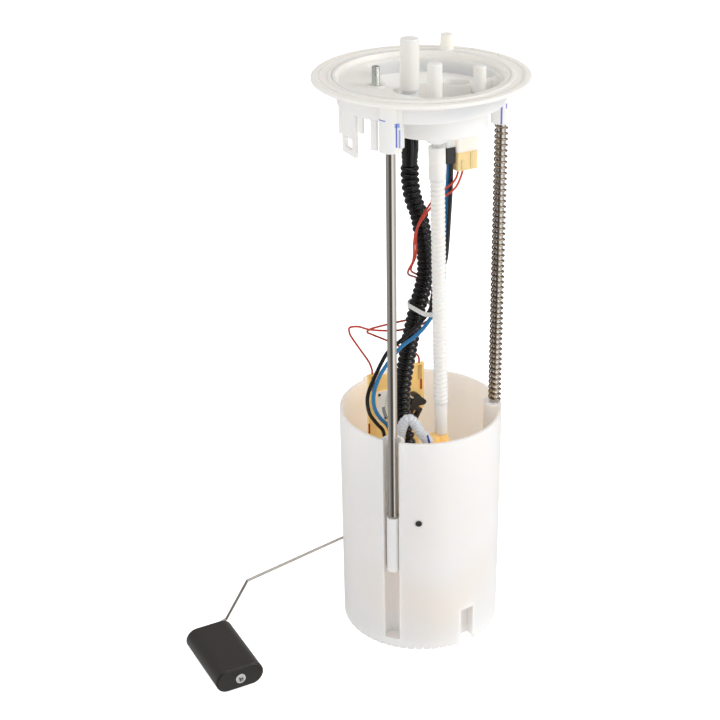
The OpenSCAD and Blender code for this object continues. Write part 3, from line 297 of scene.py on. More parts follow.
# light that comes through the wall shows on its inner face, high up and beside the groove
wall_inside, wall_outside, wall_glow = 0.0614, 0.0618, 0.10
glow_starts, glow_full = 0.08, 0.13
groove_at, groove_edge, groove_clear = (-0.046, -0.037, 0), 0.010, 0.014
tree, skin, place = skin_parts(cup_skin)
flat = vector_maths(tree, "MULTIPLY", place, (1, 1, 0))
within = spread(tree, vector_maths(tree, "LENGTH", flat), wall_inside, wall_outside, wall_glow, 0.0)
upper = spread(tree, split(tree, place)["Z"], glow_starts, glow_full)
off_rod = vector_maths(tree, "DISTANCE", flat, groove_at)
beside = spread(tree, off_rod, groove_edge, groove_clear)
shown = maths(tree, "MULTIPLY", maths(tree, "MULTIPLY", within, upper), beside)
shone_through(skin, shown, (1.0, 0.91, 0.82))
dress(cup_skin, "reservoir_cup")

# Foot valve disc, side peg, rubber rings and the check valve: pressed or moulded in dark
# rubber and black plastic. The peg shows as a dark dot in the cup wall.
black_plastic = moulded("black plastic", (0.022, 0.022, 0.024), 0.38, cloud=0.25, depth=0.2)
dark_rubber = moulded("dark rubber", (0.040, 0.028, 0.032), 0.62, cloud=0.3, grain=420.0,
                      depth=0.3)
dress(black_plastic, "foot_valve_disc")
dress(dark_rubber, "side_peg", "pump_isolators", "outlet_check_valve")

# Amber cradle, jet pump and nipple: glass-clear acetal moulded in a warm amber. The cradle
# holds the pump, and the jet pump stands beside it with its arm pinned to the wall.
amber = moulded("amber acetal", (0.93, 0.62, 0.23), 0.34, cloud=0.08, deep=0.3, glow=0.22)
dress(amber, "pump_carrier", "jet_pump_body", "jet_nozzle", "jet_hose_nipple")


# Pump: a rolled steel can around ferrite magnets, a slotted armature with copper windings,
# a carbon commutator with brushes, and a vaned impeller between two plates.
def drawn(name, colour, roughness, along, shade=0.25, depth=0.15, edge=0.0):
    """Rolled or drawn metal: long fine streaks that run along one axis."""
    finish, tree, skin, place = clear_skin(name)
    stain_scale, streak_height = 30.0, 0.0001
    skin.inputs["Metallic"].default_value = 1.0
    stretched = put(tree, "ShaderNodeMapping", {"Vector": place, "Scale": along}).outputs[0]
    streaks = noise(tree, stretched, 1.0, 5.0)
    stain = noise(tree, place, stain_scale, 3.0)
    base = blend_colour(tree, stain, darker(colour, shade), colour)
    tree.links.new(base, skin.inputs["Base Color"])
    rough = spread(tree, streaks, 0.3, 0.7, roughness - 0.06, roughness + 0.10)
    tree.links.new(rough, skin.inputs["Roughness"])
    in_relief(tree, skin, streaks, depth, streak_height, edge)
    return finish


can_steel = drawn("rolled can steel", (0.55, 0.55, 0.54), 0.32, (40.0, 40.0, 1500.0), edge=0.0004)
laminations = drawn("stacked laminations", (0.36, 0.37, 0.39), 0.42, (30.0, 30.0, 4000.0),
                    depth=0.5)
copper = drawn("enamelled copper", (0.72, 0.30, 0.13), 0.33, (60.0, 60.0, 2500.0), depth=0.6)
bronze = drawn("sintered bronze", (0.60, 0.42, 0.22), 0.45, (500.0, 500.0, 500.0))
ferrite = moulded("ferrite", (0.055, 0.055, 0.060), 0.55, cloud=0.3, grain=900.0, depth=0.4)
carbon = moulded("pressed carbon", (0.030, 0.030, 0.031), 0.5, cloud=0.3, grain=1500.0, depth=0.3)
phenolic = moulded("phenolic", (0.30, 0.17, 0.08), 0.45, cloud=0.25)
dress(can_steel, "pump_can", "pressure_regulator")
dress(laminations, "pump_armature")
dress(copper, "armature_windings")
dress(bronze, "shaft_bushes")
dress(ferrite, "pump_magnets")
dress(carbon, "commutator", "brushes")
dress(phenolic, "impeller")
dress(black_plastic, "pump_inlet_cover", "pump_chamber_plate", "pump_outlet_cover",
      "outlet_manifold", "pump_plug")

# Inlet strainer: a flat bag of woven nylon mesh, welded round its edge to a short neck.
# Two crossed sets of threads, dark between them, are pressed in its skin.
mesh_cloth, tree, skin, place = clear_skin("woven mesh")
thread_scale = 420.0
weave, cross = [put(tree, "ShaderNodeTexWave", {"Vector": place, "Scale": thread_scale,
                                                "Distortion": 0.0}, bands_direction=axis)
                for axis in ("X", "Y")]
threads = maths(tree, "MAXIMUM", weave.outputs["Fac"], cross.outputs["Fac"])
base = blend_colour(tree, threads, (0.38, 0.36, 0.30), (0.80, 0.78, 0.70))
tree.links.new(base, skin.inputs["Base Color"])
in_relief(tree, skin, threads, 0.6, 0.0002)
skin.inputs["Roughness"].default_value = 0.8
dress(mesh_cloth, "inlet_strainer")


# Jet pump hose: a short pale corrugated tube that arches from the regulator over to the
# jet pump. A plain blue dash marks its far end.
def smooth_route(points, steps=10):
    """A soft curve through points given in millimetres, as points in metres."""
    ends = [Vector(points[0])] + [Vector(p) for p in points] + [Vector(points[-1])]
    curve = []
    for i in range(1, len(ends) - 2):
        a, b, c, d = ends[i - 1:i + 3]
        for k in range(steps):
            t = k / steps
            curve.append(0.5 * (2 * b + (c - a) * t + (2 * a - 5 * b + 4 * c - d) * t * t
                                + (3 * b - a - 3 * c + d) * t * t * t))
    curve.append(ends[-1])
    return [p * MM for p in curve]


def route_line(name, curve):
    """The route as a bare line for a Geometry Nodes tree to work on."""
    return new_piece(name, curve, [], edges=[(i, i + 1) for i in range(len(curve) - 1)])


def new_tree(name, **sizes):
    """A Geometry Nodes tree with a route, named sizes and a finish as its inputs."""
    tree = bpy.data.node_groups.new(name, "GeometryNodeTree")
    face = tree.interface
    face.new_socket(name="Route", in_out="INPUT", socket_type="NodeSocketGeometry")
    for label, kind in sizes.items():
        face.new_socket(name=label.replace("_", " "), in_out="INPUT",
                        socket_type="NodeSocket" + kind)
    face.new_socket(name="Finish", in_out="INPUT", socket_type="NodeSocketMaterial")
    face.new_socket(name="Mesh", in_out="OUTPUT", socket_type="NodeSocketGeometry")
    return tree, tree.nodes.new("NodeGroupInput").outputs


def close_tree(tree, shape, given):
    """Ends a tree: smooth shading, real geometry and the finish."""
    shade = put(tree, "GeometryNodeSetShadeSmooth", {"Geometry": shape, "Shade Smooth": True})
    real = put(tree, "GeometryNodeRealizeInstances", {"Geometry": shade.outputs[0]})
    coat = put(tree, "GeometryNodeSetMaterial",
               {"Geometry": real.outputs[0], "Material": given["Finish"]})
    put(tree, "NodeGroupOutput", {0: coat.outputs[0]})


def hoop_of(tree, sides):
    """A circle of radius 1, to sweep or to copy."""
    feeds = {"Resolution": sides, "Radius": 1.0}
    return put(tree, "GeometryNodeCurvePrimitiveCircle", feeds).outputs[0]


def swept(tree, curve, sides, radius, caps=True):
    """A round pipe along a curve, by one radius or by one that changes along it."""
    feeds = {"Curve": curve, "Profile Curve": hoop_of(tree, sides), "Scale": radius,
             "Fill Caps": caps}
    return put(tree, "GeometryNodeCurveToMesh", feeds).outputs[0]


def even_curve(tree, route, step):
    """A route as a curve with points at even steps."""
    line = put(tree, "GeometryNodeMeshToCurve", {"Mesh": route}).outputs[0]
    feeds = {"Curve": line, "Length": step}
    return put(tree, "GeometryNodeResampleCurve", feeds, mode="LENGTH").outputs[0]


def grown(name, line, tree, finish, **sizes):
    """Runs a tree on a line and keeps the result as a plain mesh."""
    maker = line.modifiers.new(name, "NODES")
    maker.node_group = tree
    sizes["Finish"] = finish
    for item in tree.interface.items_tree:
        label = item.name.replace(" ", "_")
        if item.in_out == "INPUT" and label in sizes:
            maker[item.identifier] = sizes[label]
    result = line.evaluated_get(bpy.context.evaluated_depsgraph_get())
    mesh = bpy.data.meshes.new_from_object(result)
    line.modifiers.remove(maker)
    bpy.data.objects.remove(line)
    piece = bpy.data.objects.new(name, mesh)
    bpy.context.collection.objects.link(piece)
    return piece


# the bellows: round bulges with tight valleys between them, all along the route
rows_per_ridge, fullness = 10.0, 0.6
bellows, given = new_tree("corrugated tube", Outer_radius="Float", Ridge_pitch="Float",
                          Ridge_depth="Float", Sides="Int")
step = maths(bellows, "DIVIDE", given["Ridge pitch"], rows_per_ridge)
even = even_curve(bellows, given["Route"], step)
run = put(bellows, "GeometryNodeSplineParameter").outputs["Length"]
turn = maths(bellows, "DIVIDE", run, given["Ridge pitch"])
wave = maths(bellows, "SINE", maths(bellows, "MULTIPLY", turn, math.pi))
bulge = maths(bellows, "POWER", maths(bellows, "ABSOLUTE", wave), fullness)
sink = maths(bellows, "MULTIPLY", maths(bellows, "SUBTRACT", 1.0, bulge), given["Ridge depth"])
size = maths(bellows, "SUBTRACT", given["Outer radius"], sink)
close_tree(bellows, swept(bellows, even, given["Sides"], size), given)


def ink_and_glow_box(tree, place, centre, half):
    """1 inside a small upright box in the object's own frame, 0 outside."""
    off = vector_maths(tree, "ABSOLUTE", vector_maths(tree, "SUBTRACT", place, centre))
    over = split(tree, vector_maths(tree, "SUBTRACT", off, half))
    most = maths(tree, "MAXIMUM", maths(tree, "MAXIMUM", over["X"], over["Y"]), over["Z"])
    return maths(tree, "LESS_THAN", most, 0.0)


def marked(finish, ink, marks):
    """Adds ink marks to a finish, each by its centre and half sizes in metres."""
    tree, skin, place = skin_parts(finish)
    base = base_of(skin)
    for centre, half in marks:
        base = blend_colour(tree, ink_and_glow_box(tree, place, centre, half), base, ink)
    tree.links.new(base, skin.inputs["Base Color"])


pale_hose = moulded("pale hose nylon", (0.72, 0.76, 0.82), 0.26, cloud=0.12, edge=0, deep=0.3)
marked(pale_hose, (0.02, 0.05, 0.32), [((-0.0150, -0.0395, 0.1800), (0.0009, 0.0030, 0.0030))])
jet_route = [
    (-31, -23, 162.1), (-31, -23, 166), (-31, -23, 170), (-30.4, -23, 181), (-28, -24, 190),
    (-24.4, -25.5, 193.6), (-21, -28, 190.6), (-17.8, -32.3, 183.5), (-14.5, -36, 178.5),
    (-13.9, -36.8, 176.3), (-13.9, -36.8, 174.1)]
jet_line = route_line("jet route", smooth_route(jet_route))
jet_hose = grown("jet_hose_bellows", jet_line, bellows, pale_hose,
                 Outer_radius=0.0042, Ridge_pitch=0.0024, Ridge_depth=0.0008, Sides=32)
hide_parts("jet_hose")
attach(jet_hose, "reservoir")


# Level sender: an amber board with a white ceramic card. Resistor fingers are printed on
# the card in a fan round the pivot, and a black rocker sweeps sprung contacts over them.
def band(tree, reach, inner, outer):
    """1 between two radii, 0 elsewhere."""
    beyond = maths(tree, "GREATER_THAN", reach, inner)
    return maths(tree, "MULTIPLY", beyond, maths(tree, "LESS_THAN", reach, outer))


dress(amber, "sender_board")
dress(black_plastic, "wiper_carrier")
bright = drawn("bright contact strip", (0.78, 0.77, 0.74), 0.22, (900.0, 40.0, 40.0))
dress(bright, "wiper_contact")
brass = drawn("stamped brass", (0.80, 0.60, 0.26), 0.28, (400.0, 400.0, 60.0))
dress(brass, "sender_terminals", "flange_terminals", "brush_springs")

# the card's print, by reach and turn about the pivot: fan, dark strip, grey patch and track
pivot, fingers, finger_gap = (0.007, 0.028, 0.179), 90.0, 0.1
card_skin, tree, skin, place = clear_skin("printed ceramic")
part = split(tree, vector_maths(tree, "SUBTRACT", place, pivot))
flat = put(tree, "ShaderNodeCombineXYZ", {"X": part["X"], "Y": 0.0, "Z": part["Z"]}).outputs[0]
reach = vector_maths(tree, "LENGTH", flat)
turn = maths(tree, "ARCTAN2", part["Z"], part["X"])
spokes = maths(tree, "SINE", maths(tree, "MULTIPLY", turn, fingers))
comb = maths(tree, "GREATER_THAN", spokes, finger_gap)
low_side = maths(tree, "LESS_THAN", part["Z"], -0.001)
high_side = maths(tree, "GREATER_THAN", part["Z"], 0.003)
fan = maths(tree, "MULTIPLY", band(tree, reach, 0.0175, 0.0245), comb)
patch = maths(tree, "MULTIPLY", band(tree, reach, 0.0160, 0.0222), high_side)
dark_strip = maths(tree, "MULTIPLY", band(tree, reach, 0.0240, 0.0268), low_side)
track = band(tree, reach, 0.0135, 0.0148)
base = blend_colour(tree, noise(tree, place, 260.0, 3.0), (0.90, 0.87, 0.80), (0.98, 0.95, 0.89))
for shape, ink in ((fan, (0.42, 0.42, 0.41)), (patch, (0.36, 0.36, 0.35)),
                   (dark_strip, (0.015, 0.015, 0.015)), (track, (0.30, 0.30, 0.29))):
    base = blend_colour(tree, shape, base, ink)
tree.links.new(base, skin.inputs["Base Color"])
skin.inputs["Roughness"].default_value = 0.35
# the card glows a little: painted light that lifts it where it stands in shade inside the cup
skin.inputs["Emission Color"].default_value = (1.0, 0.97, 0.90, 1)
skin.inputs["Emission Strength"].default_value = 0.16
dress(card_skin, "resistor_card")


def soften_edges(piece, width, segments=1):
    """A bevel along all edges of a piece."""
    edge = piece.modifiers.new("edge", "BEVEL")
    edge.width = width
    edge.segments = segments


def box_mesh(name, boxes, finish, bevel=0.0003, axis="Z"):
    """Small moulded blocks: each a centre and size in millimetres and a turn about an axis."""
    points, faces = [], []
    sides = ((3, 2, 1, 0), (4, 5, 6, 7), (0, 1, 5, 4), (1, 2, 6, 5), (2, 3, 7, 6), (3, 0, 4, 7))
    for centre, size, turn in boxes:
        about = Matrix.Rotation(math.radians(turn), 3, axis)
        first = len(points)
        for z in (-0.5, 0.5):
            for x, y in ((-0.5, -0.5), (0.5, -0.5), (0.5, 0.5), (-0.5, 0.5)):
                corner = about @ Vector((x * size[0], y * size[1], z * size[2]))
                points.append((Vector(centre) + corner) * MM)
        faces += [tuple(first + i for i in side) for side in sides]
    piece = new_piece(name, points, faces, finish)
    soften_edges(piece, bevel, segments=2)
    return piece


# small things on the sender: dark solder dots on the card, ends of the red leads and a
# strut on the board, and a bright strip on the rocker
signal_red = moulded("red insulation", (0.62, 0.055, 0.028), 0.34, cloud=0.15, edge=0,
                     grain=300.0, depth=0.05)
dots = box_mesh("card_dots", [((-22, 26.9, 189.5), (2.2, 0.5, 2.2), 0),
                              ((-22, 26.9, 169), (2.4, 0.5, 2.2), 0),
                              ((-17, 26.9, 167.8), (1.6, 0.5, 1.6), 0)], black_plastic, 0.0002)
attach(dots, "reservoir")
wire_tails = box_mesh("sender_wire_tails", [((-31.0, 27.7, 161.5), (1.5, 1.4, 9.0), 0),
                                            ((16.1, 27.7, 189.8), (1.5, 1.4, 9.5), 0)],
                      signal_red, 0.0005)
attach(wire_tails, "reservoir")
strip = box_mesh("rocker_strip", [((4.1, 21.6, 183.6), (8.6, 0.5, 1.5), 44)], bright, 0.0001,
                 axis="Y")
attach(strip, "sender_arm")
strut = box_mesh("board_strut", [((10.3, 27.4, 166.4), (15.0, 1.4, 2.6), -38)], amber, 0.0004,
                 axis="Y")
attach(strut, "reservoir")

# Float arm and float: one bent steel wire runs from the rocker through the slot and carries
# a block of black foam rubber, which turns on the wire and is kept on by a push-on clip
# with a dark centre.
arm_wire = drawn("arm wire", (0.78, 0.74, 0.68), 0.42, (300.0, 300.0, 300.0), shade=0.2)
dress(arm_wire, "float_arm")
clip_steel = moulded("pressed clip", (0.60, 0.60, 0.61), 0.30, cloud=0.1, grain=500.0)
clip_centre = ((-0.1776, -0.0360, 0.0133), (0.0016, 0.0100, 0.0016))
marked(clip_steel, (0.010, 0.014, 0.060), [clip_centre])
dress(clip_steel, "float_clip")
foam = moulded("float foam", (0.019, 0.015, 0.013), 0.30, cloud=0.25, grain=1100.0, depth=0.2,
               edge=0.0009)
skin_parts(foam)[1].inputs["Specular IOR Level"].default_value = 1.0
dress(foam, "float")

# Flange: one large white acetal moulding with two faint ridges on its rim and blue
# inspection strokes on both rod sockets. The place of the printed code is left bare.
flange_skin = moulded("flange acetal", (0.93, 0.918, 0.895), 0.34, cloud=0.03, deep=0.7,
                      edge=0.0008)
# a painted warm glow round the thin box over the sender plug, for light that comes through it
paint_glow_tint(flange_skin, (1.0, 0.88, 0.72), [((0.025, -0.0248, 0.403), 0.015, 0.8)])
marked(flange_skin, (0.34, 0.46, 0.84), [
    ((-0.0427, -0.0455, 0.4245), (0.0004, 0.0030, 0.0064)),
    ((-0.0443, -0.0455, 0.4339), (0.0017, 0.0030, 0.0015))])
marked(flange_skin, (0.13, 0.17, 0.62), [
    ((-0.0446, -0.0455, 0.4268), (0.0006, 0.0030, 0.0084)),
    ((-0.0528, -0.0395, 0.4372), (0.0015, 0.0030, 0.0004)),
    ((0.0508, -0.0265, 0.4209), (0.0005, 0.0025, 0.0066)),
    ((0.0541, -0.0279, 0.4278), (0.0004, 0.0025, 0.0018))])
# the top side is painted a little darker and warmer, a painted shade for light that falls
# from the side, and the thin box over the sender plug lets light through, shown as a painted glow
top_starts, top_full, top_shade_share, top_shade_tint = 0.438, 0.449, 0.38, (0.95, 0.885, 0.79)
thin_centre, thin_half, thin_glow = (0.0250, -0.0180, 0.4040), (0.0095, 0.0072, 0.0080), 0.15
tree, skin, place = skin_parts(flange_skin)
upper = spread(tree, split(tree, place)["Z"], top_starts, top_full, 0.0, top_shade_share)
base = blend_colour(tree, upper, base_of(skin), top_shade_tint)
tree.links.new(base, skin.inputs["Base Color"])
# painted glow inside the thin box, masked like an ink mark but without ink
thin = ink_and_glow_box(tree, place, thin_centre, thin_half)
shone_through(skin, maths(tree, "MULTIPLY", thin, thin_glow), (1.0, 0.90, 0.78))
dress(flange_skin, "flange_plate")

ridge_level = 0.4524
ridges, given = new_tree("rim ridges", Rings="Int", First_radius="Float", Spacing="Float",
                         Ridge_radius="Float")
row = put(ridges, "GeometryNodeMeshLine", {"Count": given["Rings"], "Offset": (0, 0, 0),
                                           "Start Location": (0, 0, ridge_level)})
nth = put(ridges, "GeometryNodeInputIndex").outputs[0]
width = maths(ridges, "ADD", maths(ridges, "MULTIPLY", nth, given["Spacing"]),
              given["First radius"])
wide = put(ridges, "ShaderNodeCombineXYZ", {"X": width, "Y": width, "Z": 1.0})
rings = put(ridges, "GeometryNodeInstanceOnPoints", {"Points": row.outputs[0],
                                                    "Instance": hoop_of(ridges, 160),
                                                    "Scale": wide.outputs[0]})
laid = put(ridges, "GeometryNodeRealizeInstances", {"Geometry": rings.outputs[0]})
close_tree(ridges, swept(ridges, laid.outputs[0], 8, given["Ridge radius"], caps=False), given)
rim_line = route_line("rim", [Vector((0, 0, 0.45)), Vector((0, 0, 0.451))])
rim_ridges = grown("rim_ridges", rim_line, ridges, flange_skin,
                   Rings=2, First_radius=0.0632, Spacing=0.0090, Ridge_radius=0.00022)
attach(rim_ridges, "flange")


# Port caps: soft milky plugs pushed over the three spigots to keep dirt out. Each is a plain
# cup with a rounded top and a small lip at its foot.
def shade_sides(piece):
    """Smooth shading on the side faces and flat ends."""
    for face in piece.data.polygons:
        face.use_smooth = len(face.vertices) == 4


def turned(name, centre, outline, finish, sides=48):
    """A shape turned round an upright axis, from (radius, height) pairs in millimetres."""
    points, faces = [], []
    for r, z in outline:
        for k in range(sides):
            a = 2 * math.pi * k / sides
            x, y = centre[0] + r * math.cos(a), centre[1] + r * math.sin(a)
            points.append((x * MM, y * MM, z * MM))
    for low in range(0, (len(outline) - 1) * sides, sides):
        high = low + sides
        for k in range(sides):
            m = (k + 1) % sides
            faces.append((low + k, low + m, high + m, high + k))
    faces.append(tuple(reversed(range(sides))))
    faces.append(tuple(range(len(points) - sides, len(points))))
    piece = new_piece(name, points, faces, finish)
    shade_sides(piece)
    return piece


def rounded_top(r, top, rim):
    """The last few steps of an outline, over a rounded top edge."""
    return [(r - rim + rim * math.cos(a), top - rim + rim * math.sin(a))
            for a in [math.radians(15 * i) for i in range(7)]]


cap_skin = moulded("cap plastic", (0.90, 0.895, 0.875), 0.34, cloud=0.05, edge=0, deep=0.5)
cap_wall, cap_rounding = 0.45, 1.2
for node in ("feed_port_cap", "return_port_cap", "vent_port_cap"):
    low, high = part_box(node)
    centre = ((low[0] + high[0]) * 500, (low[1] + high[1]) * 500)
    r, foot, top = (high[0] - low[0]) * 500, low[2] * 1000, high[2] * 1000
    body_r = r - cap_wall
    lip = [(r - 0.35, foot), (r, foot + 0.35), (r, foot + 1.8), (r - 0.30, foot + 2.2)]
    wall = [(body_r, top - 2.6), (body_r, top - 1.3)]
    outline = lip + wall + rounded_top(body_r, top, cap_rounding)
    cap = turned(node + "_moulded", centre, outline, cap_skin)
    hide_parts(node)
    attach(cap, "flange")

# Ground stud: an M6 stud of zinc-plated steel, moulded into the flange land, with its
# thread rolled over the whole visible length and a chamfer at the top.
stud_steel = drawn("zinc plate", (0.84, 0.86, 0.85), 0.20, (80.0, 80.0, 900.0), shade=0.1)
low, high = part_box("ground_stud")
stud_x, stud_y, stud_top = (low[0] + high[0]) / 2, (low[1] + high[1]) / 2, high[2]
thread_pitch, thread_depth, stud_r, chamfer = 0.001, 0.00055, 0.003, 0.0008
thread_foot, steepness = 0.4494, 2.4
around, rows_per_turn = 36, 8
levels = int(round((stud_top - thread_foot) / (thread_pitch / rows_per_turn)))
points = []
for j in range(levels + 1):
    z = thread_foot + (stud_top - thread_foot) * j / levels
    taper = min(1.0, (stud_top - z) / chamfer)
    for k in range(around):
        share = (z / thread_pitch - k / around) % 1.0
        cut = thread_depth * min(1.0, steepness * min(share, 1 - share))
        r = min(stud_r - thread_depth + cut, stud_r - chamfer * (1 - taper))
        angle = 2 * math.pi * k / around
        points.append((stud_x + r * math.cos(angle), stud_y + r * math.sin(angle), z))
walls = []
for low in range(0, levels * around, around):
    high = low + around
    for k in range(around):
        m = (k + 1) % around
        walls.append((low + k, low + m, high + m, high + k))
ends = [tuple(reversed(range(around))), tuple(range(levels * around, (levels + 1) * around))]
stud = new_piece("stud_thread", points, walls + ends, stud_steel)
shade_sides(stud)
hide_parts("ground_stud")
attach(stud, "flange")

# Guide rods and shoes: two ground steel rods pressed in the flange sockets. White acetal
# shoes on their feet slide in the grooves of the cup.
rod_steel = drawn("ground rod steel", (0.62, 0.58, 0.53), 0.16, (900.0, 900.0, 5.0), shade=0.12,
                  depth=0.2)
dress(rod_steel, "front_guide_rod", "rear_guide_rod", "pump_shaft")
shoe_skin = moulded("shoe acetal", (0.88, 0.88, 0.87), 0.33, cloud=0.03, deep=0.2, edge=0.0006)
dress(shoe_skin, "rod_shoes")

# Coil spring: 52 turns of oil-tempered wire round the rear rod. It stands on the cup's guide
# block and pushes the flange up against the tank opening.
spring_wire = drawn("spring wire", (0.50, 0.42, 0.34), 0.26, (400.0, 400.0, 400.0), shade=0.35)
coil, given = new_tree("spring", Turns="Float", Coil_radius="Float", Height="Float",
                       Wire_radius="Float", Steps="Int", Foot="Vector")
spiral = put(coil, "GeometryNodeCurveSpiral", {
    "Resolution": given["Steps"], "Rotations": given["Turns"], "Height": given["Height"],
    "Start Radius": given["Coil radius"], "End Radius": given["Coil radius"]})
stood = put(coil, "GeometryNodeTransform",
            {"Geometry": spiral.outputs[0], "Translation": given["Foot"]})
close_tree(coil, swept(coil, stood.outputs[0], 10, given["Wire radius"]), given)
rod_circle, rear, spring_foot = 0.0587, math.radians(-20), 0.18820
spring_line = route_line("spring axis", [Vector((0, 0, 0)), Vector((0, 0, 0.1))])
spring = grown("spring_coil", spring_line, coil, spring_wire,
               Turns=52.0, Coil_radius=0.00445, Height=0.22520, Wire_radius=0.00070, Steps=28,
               Foot=(rod_circle * math.cos(rear), rod_circle * math.sin(rear), spring_foot))
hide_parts("coil_spring")
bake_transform(spring)

# Feed hose and cuff: glossy black corrugated nylon from the pump's outlet up to the feed
# spigot, with a smooth cuff shrunk over the spigot's foot.
hose_black = moulded("black hose nylon", (0.005, 0.005, 0.006), 0.13, cloud=0.3, edge=0,
                     depth=0.04)
feed_route = [
    (-4.7, 8.3, 383), (-4.7, 8.3, 379), (-4.7, 8.3, 375), (-4, 7, 363), (-2, 6, 354), (1, 5, 345),
    (3, 4, 333), (5, 3, 319), (6, 3, 309), (6, 3, 298), (4, 4, 285), (1, 5.5, 272), (-2, 6, 259),
    (-5, 7, 244), (-8, 8, 225), (-11, 8, 208), (-13, 7, 192), (-14.3, 3, 176),
    (-14, -3, 163.05), (-14, -3, 158.05), (-14, -3, 152.05)]
feed_line = route_line("feed route", smooth_route(feed_route))
feed = grown("feed_hose_bellows", feed_line, bellows, hose_black,
             Outer_radius=0.0069, Ridge_pitch=0.0048, Ridge_depth=0.0026, Sides=40)
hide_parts("feed_hose")
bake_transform(feed)
cuff_outline = [(5.4, 383.1), (5.9, 383.4), (5.3, 384.6), (6.0, 385.6), (5.4, 387.0),
                (6.1, 388.4), (6.0, 391.5), (6.5, 394.0), (6.5, 405.0), (6.6, 406.0),
                (6.6, 416.6), (6.2, 417.8)]
cuff = turned("feed_cuff_smooth", (-4.7, 8.3), cuff_outline, hose_black)
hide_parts("feed_hose_cuff")
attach(cuff, "flange")

# Return tube: a milky corrugated nylon tube, straight from the flange down to the jet pump,
# with a smooth sleeve at each end.
tube_skin = moulded("return tube nylon", (0.86, 0.85, 0.83), 0.30, cloud=0.04, edge=0, deep=0.5)
tube_foot, tube_head = Vector((1.7, -30.0, 177.0)), Vector((-4.0, -30.0, 408.0))
along_tube = (tube_head - tube_foot).normalized()


def on_tube(run):
    """A point of the tube's own line, some millimetres up from its foot, in metres."""
    return (tube_foot + along_tube * run) * MM


length = (tube_head - tube_foot).length
tube_line = route_line("tube route", [on_tube(26.5), on_tube(length - 23.5)])
tube = grown("return_tube_bellows", tube_line, bellows, tube_skin,
             Outer_radius=0.0054, Ridge_pitch=0.0036, Ridge_depth=0.0011, Sides=40)
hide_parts("return_tube")
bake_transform(tube)

# the plain sleeves: a straight pipe of one radius along the tube's own line
pipe_step = 0.0012
pipe_tree, given = new_tree("plain pipe", Radius="Float", Sides="Int")
even = even_curve(pipe_tree, given["Route"], pipe_step)
close_tree(pipe_tree, swept(pipe_tree, even, given["Sides"], given["Radius"]), given)
for name, start, end, radius in (("tube_foot_sleeve", 0.4, 27.0, 0.0048),
                                 ("tube_head_sleeve", length - 24.0, length, 0.0061)):
    sleeve_line = route_line(name, [on_tube(start), on_tube(end)])
    sleeve = grown(name, sleeve_line, pipe_tree, tube_skin, Radius=radius, Sides=40)
    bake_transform(sleeve)

# Connectors under the flange: an amber plug for the sender and a small black one for the
# pump, each with a latch. Brass tongues lead from them to the harness shroud above.
signal_amber = moulded("pale amber", (0.90, 0.68, 0.33), 0.36, cloud=0.06, deep=0.3)
dress(signal_amber, "signal_connector")
dress(black_plastic, "power_connector")
low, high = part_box("signal_connector")
mid_x, front, foot = (low[0] + high[0]) * 500, low[1] * 1000 - 0.1, low[2] * 1000
latch = box_mesh("signal_latch", [((mid_x + 3.2, front, foot + 7.2), (2.6, 1.0, 11.5), 0),
                                  ((mid_x - 4.2, front, foot + 4.5), (3.0, 0.8, 7), 0)],
                 signal_amber)
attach(latch, "flange")

# Leads: a black and a blue power lead from the flange down to the pump, and two thin red
# sender leads that loop out over the rim before they come down to the board.
power_black = moulded("black insulation", (0.012, 0.012, 0.014), 0.24, cloud=0.2, edge=0,
                      grain=300.0, depth=0.05)
power_blue = moulded("blue insulation", (0.020, 0.20, 0.46), 0.28, cloud=0.12, edge=0,
                     grain=300.0, depth=0.05)
black_route = [
    (13.4, -20.5, 389.9), (13.4, -20.5, 382), (13.6, -20, 372), (13.4, -19.5, 360),
    (12.9, -19, 346), (12.3, -18.5, 330), (11.2, -17.5, 314), (8.5, -15.5, 306), (6.8, -13.2, 299),
    (5.6, -10.6, 290), (4.6, -9, 281), (3.4, -8.4, 272), (-3, -7, 263.5), (-11, -6, 256.5),
    (-21, -4.5, 249), (-30, -3, 242), (-36, -2.5, 232.9), (-42, -2, 221), (-46.2, -1.5, 211),
    (-47, -1, 202), (-44.9, -1, 191.5), (-38.3, 0, 180.8), (-32, 3, 172.5), (-29, 5.5, 163),
    (-28.5, 6, 154), (-28.5, 6, 149), (-28.5, 6, 145.1)]
blue_route = [
    (13, -17, 389.9), (13, -17, 382), (12.9, -16.3, 372), (12.4, -15.8, 360), (11.8, -15.2, 346),
    (11.4, -14.6, 330), (11.2, -13.8, 314), (12.2, -13.6, 306), (11.8, -14.8, 299),
    (9.6, -15.4, 290), (6.6, -14.3, 281), (3.4, -12.8, 270), (-4, -11.4, 259.5),
    (-12, -10.3, 253), (-21, -9, 247.5), (-27.4, -8, 241), (-33, -7, 234), (-38.6, -6.5, 226),
    (-43, -6, 215), (-44.2, -5.5, 206), (-42.2, -5, 196), (-37, -4, 187), (-31, -2, 179.5),
    (-27, 0, 171), (-25.5, 1, 161), (-25.5, 1, 154), (-25.5, 1, 149), (-25.5, 1, 145.1)]
signal_route_a = [
    (19.5, -20, 383.3), (17, -22.5, 380), (13, -23.8, 376.2), (8.5, -21, 371.5), (4, -14.5, 364),
    (-1, -9.5, 353), (-5.6, -6.5, 342), (-7, -5, 331), (-6, -4, 322), (-5, -0.5, 313),
    (-5.2, 5, 304), (-1.5, 11.5, 297), (6, 15, 291), (11.5, 12.5, 285), (12.8, 5, 279.5),
    (8.6, -2.5, 275.5), (8, -3.4, 272), (8.2, -3, 268.5), (10, 4, 261), (6, 14, 255.5),
    (-4, 17.5, 254.2), (-12, 18, 254), (-23, 18, 254), (-33, 19, 253),
    (-35, 21, 250), (-30, 23, 246), (-15, 25.5, 236), (2, 27, 224), (12, 28.5, 217),
    (15, 29.5, 212), (15, 29.5, 208.3)]
